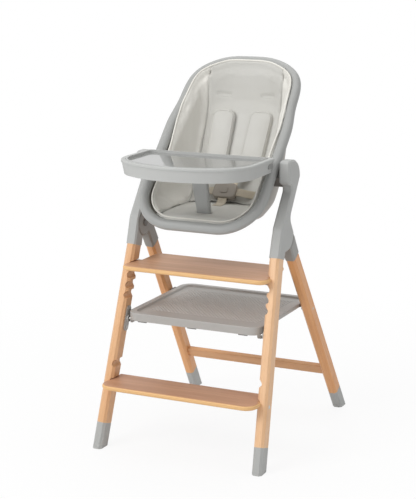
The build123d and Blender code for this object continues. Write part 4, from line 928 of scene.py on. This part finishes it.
def sleeve_piping(side):
    """Piping round a shoulder sleeve's front: a thin cord on a rounded rectangle, laid on the sleeve."""
    flat = rounded_loop(*SLEEVE_BORDER, count=160)
    middle = SLEEVE_MIDDLE + SIDES[side] * SLEEVE_X * X_WAY
    drawn = lean(side, on_back(middle, flat)) - middle
    plan = np.stack([drawn[:, 0], drawn @ BACK_UP], 1)
    height = softened(surface_height(sleeves[side], middle, plan), CORD_WINDOW)
    path = middle + drawn + height[:, None] * BACK_OUT
    back_cord("sleeve_piping_" + side, path, SLEEVE_PIPING, count=8)


def slot_binding(side):
    """Binding round a free strap slot: a fine cord on a rounded slot, laid on the back cushion."""
    flat = rounded_loop(*SLOT_SIZE, SLOT_CORNER, count=120)
    middle = SLEEVE_MIDDLE + SIDES[side] * SLOT_X * X_WAY + SLOT_UP * BACK_UP
    height = softened(surface_height(back_cushion, middle, flat), CORD_WINDOW)
    path = on_back(middle, flat) + height[:, None] * BACK_OUT
    back_cord("slot_binding_" + side, path, SLOT_BINDING, count=6)


# Harness
def tape(name, corners, width, count, across=(1.0, 0.0, 0.0)):
    """Woven tape: a thin flat profile carried along an eased line, with its length and width as its map."""
    path = evenly(eased(corners), count)
    along = unit(np.gradient(path, axis=0))
    across = np.broadcast_to(np.asarray(across, float), path.shape)
    over = unit(np.cross(across, along))
    across = unit(np.cross(along, over))
    half = width / 2
    share = np.linspace(-1, 1, 9)
    bow = TAPE_HALF * (1 - 0.4 * share**4)
    profile = np.vstack([np.stack([share * half, bow], 1), np.stack([share * half, -bow], 1)[::-1]])
    points, faces = carried(path, across, over, profile, closed=False)
    length = run_length(path)
    chart = np.stack(np.broadcast_arrays(length[:, None], profile[None, :, 0]), -1).reshape(-1, 2)
    piece = new_piece(name, points, faces, tape_web, "seat", chart=chart)
    return piece, length[-1]


for side, sign in SIDES.items():
    sleeve_piping(side)
    slot_binding(side)
    corners = SHOULDER_RUN * (sign, 1.0, 1.0)
    corners[:-1] = lean(side, corners[:-1])
    strap, run = tape("shoulder_tape_" + side, corners, TAPE_WIDTH, count=90)
    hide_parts("shoulder_strap_" + side)
    waist = WAIST_RUN * (sign, 1.0, 1.0)
    belt, run = tape("waist_tape_" + side, waist, WAIST_WIDTH, count=40, across=WAIST_ACROSS)
crotch, run = tape("crotch_tape", CROTCH_RUN, TAPE_WIDTH, count=40)
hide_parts("crotch_strap")


# Platform tread
def tread():
    """Non-slip floor: low four-sided studs with flat tops, in rows set half a pitch apart."""
    x = np.arange(-TREAD_COLUMNS, TREAD_COLUMNS + 1) * TREAD_PITCH
    y = np.arange(0, TREAD_ROWS) * TREAD_ROW + TREAD_FRONT
    gx, gy = np.meshgrid(x, y)
    gx = gx + (np.arange(len(y)) % 2)[:, None] * TREAD_PITCH / 2
    middle = np.stack([gx, gy, np.full(gx.shape, TREAD_FLOOR)], -1).reshape(-1, 1, 3)
    corner = np.array([(1, 0, 0), (0, STUD_DEPTH, 0), (-1, 0, 0), (0, -STUD_DEPTH, 0)]) * STUD_HALF
    stud = np.vstack([corner, corner * STUD_TOP + STUD_RISE * Z_WAY])
    points = (middle + stud[None]).reshape(-1, 3)
    shape = np.array([(0, 1, 5, 4), (1, 2, 6, 5), (2, 3, 7, 6), (3, 0, 4, 7), (4, 5, 6, 7), (3, 2, 1, 0)])
    faces = (np.arange(middle.shape[0])[:, None, None] * 8 + shape[None]).reshape(-1, 4)
    # painted light: the tread wears the lighter plastic
    new_piece("platform_tread", points, faces, tread_plastic_lit, "platform", smooth=False)


tread()


# Studio
def seen_rays(tree):
    """One for rays that show the surround, from the camera, a gloss or glass, and nought for others."""
    path = put(tree, "LightPath")
    mirrored = sums(tree, "MAXIMUM", path.outputs["Is Glossy Ray"], path.outputs["Is Transmission Ray"])
    return sums(tree, "MAXIMUM", path.outputs["Is Camera Ray"], mirrored)


def surround():
    """A white world for what is seen, and a dimmer one for its light."""
    world = bpy.data.worlds.new("surround")
    scene.world = world
    world.use_nodes = True
    tree = world.node_tree
    glow = tree.nodes["Background"]
    glow.inputs[0].default_value = (1.0, 1.0, 1.0, 1.0)
    tree.links.new(spread(tree, seen_rays(tree), 0.0, 1.0, WORLD_LIGHT, 1.0), glow.inputs[1])


def floor():
    """Pale floor that keeps a little of the shadow, and turns white away from the chair."""
    material, tree, shader = start_finish("floor_paint")
    tune(material, {"Base Color": (0.9, 0.9, 0.9, 1.0), "Roughness": 0.8})
    shine = put(tree, "Emission", ("Color", (1.0, 1.0, 1.0, 1.0)), ("Strength", 1.0))
    place = put(tree, "TexCoord").outputs["Object"]
    away = put(tree, "VectorMath", (0, place), operation="LENGTH").outputs["Value"]
    share = sums(tree, "MULTIPLY", seen_rays(tree), spread(tree, away, 0.3, 1.5, 0.88, 1.0))
    mix = put(tree, "MixShader", (0, share), (1, shader.outputs[0]), (2, shine.outputs[0]))
    tree.links.new(mix.outputs[0], tree.nodes["Material Output"].inputs["Surface"])
    mesh = bpy.data.meshes.new("floor")
    corners = [(x * FLOOR_REACH, y * FLOOR_REACH, 0) for x, y in ((-1, -1), (1, -1), (1, 1), (-1, 1))]
    mesh.from_pydata(corners, [], [(0, 1, 2, 3)])
    mesh.materials.append(material)
    piece = bpy.data.objects.new("floor", mesh)
    piece.location.z = -FLOOR_DROP
    scene.collection.objects.link(piece)


def soft_lamps():
    """Square lamps, all aimed at the middle of the chair."""
    for name, place, size, power in LAMPS:
        light = bpy.data.lights.new(name, "AREA")
        light.size = size
        light.energy = power
        lamp = bpy.data.objects.new(name, light)
        lamp.location = place
        aim = Vector(np.subtract(LAMP_AIM, place))
        lamp.rotation_euler = aim.to_track_quat("-Z", "Y").to_euler()
        scene.collection.objects.link(lamp)


surround()
floor()
soft_lamps()

lens = bpy.data.cameras.new("view")
lens.sensor_fit = "VERTICAL"
lens.sensor_height = SENSOR_MM
lens.lens = LENS_MM
camera = bpy.data.objects.new("view", lens)
camera.location = CAMERA_AT
camera.rotation_euler = (radians(90 - CAMERA_DOWN), 0.0, radians(CAMERA_TURN))
scene.collection.objects.link(camera)
scene.camera = camera
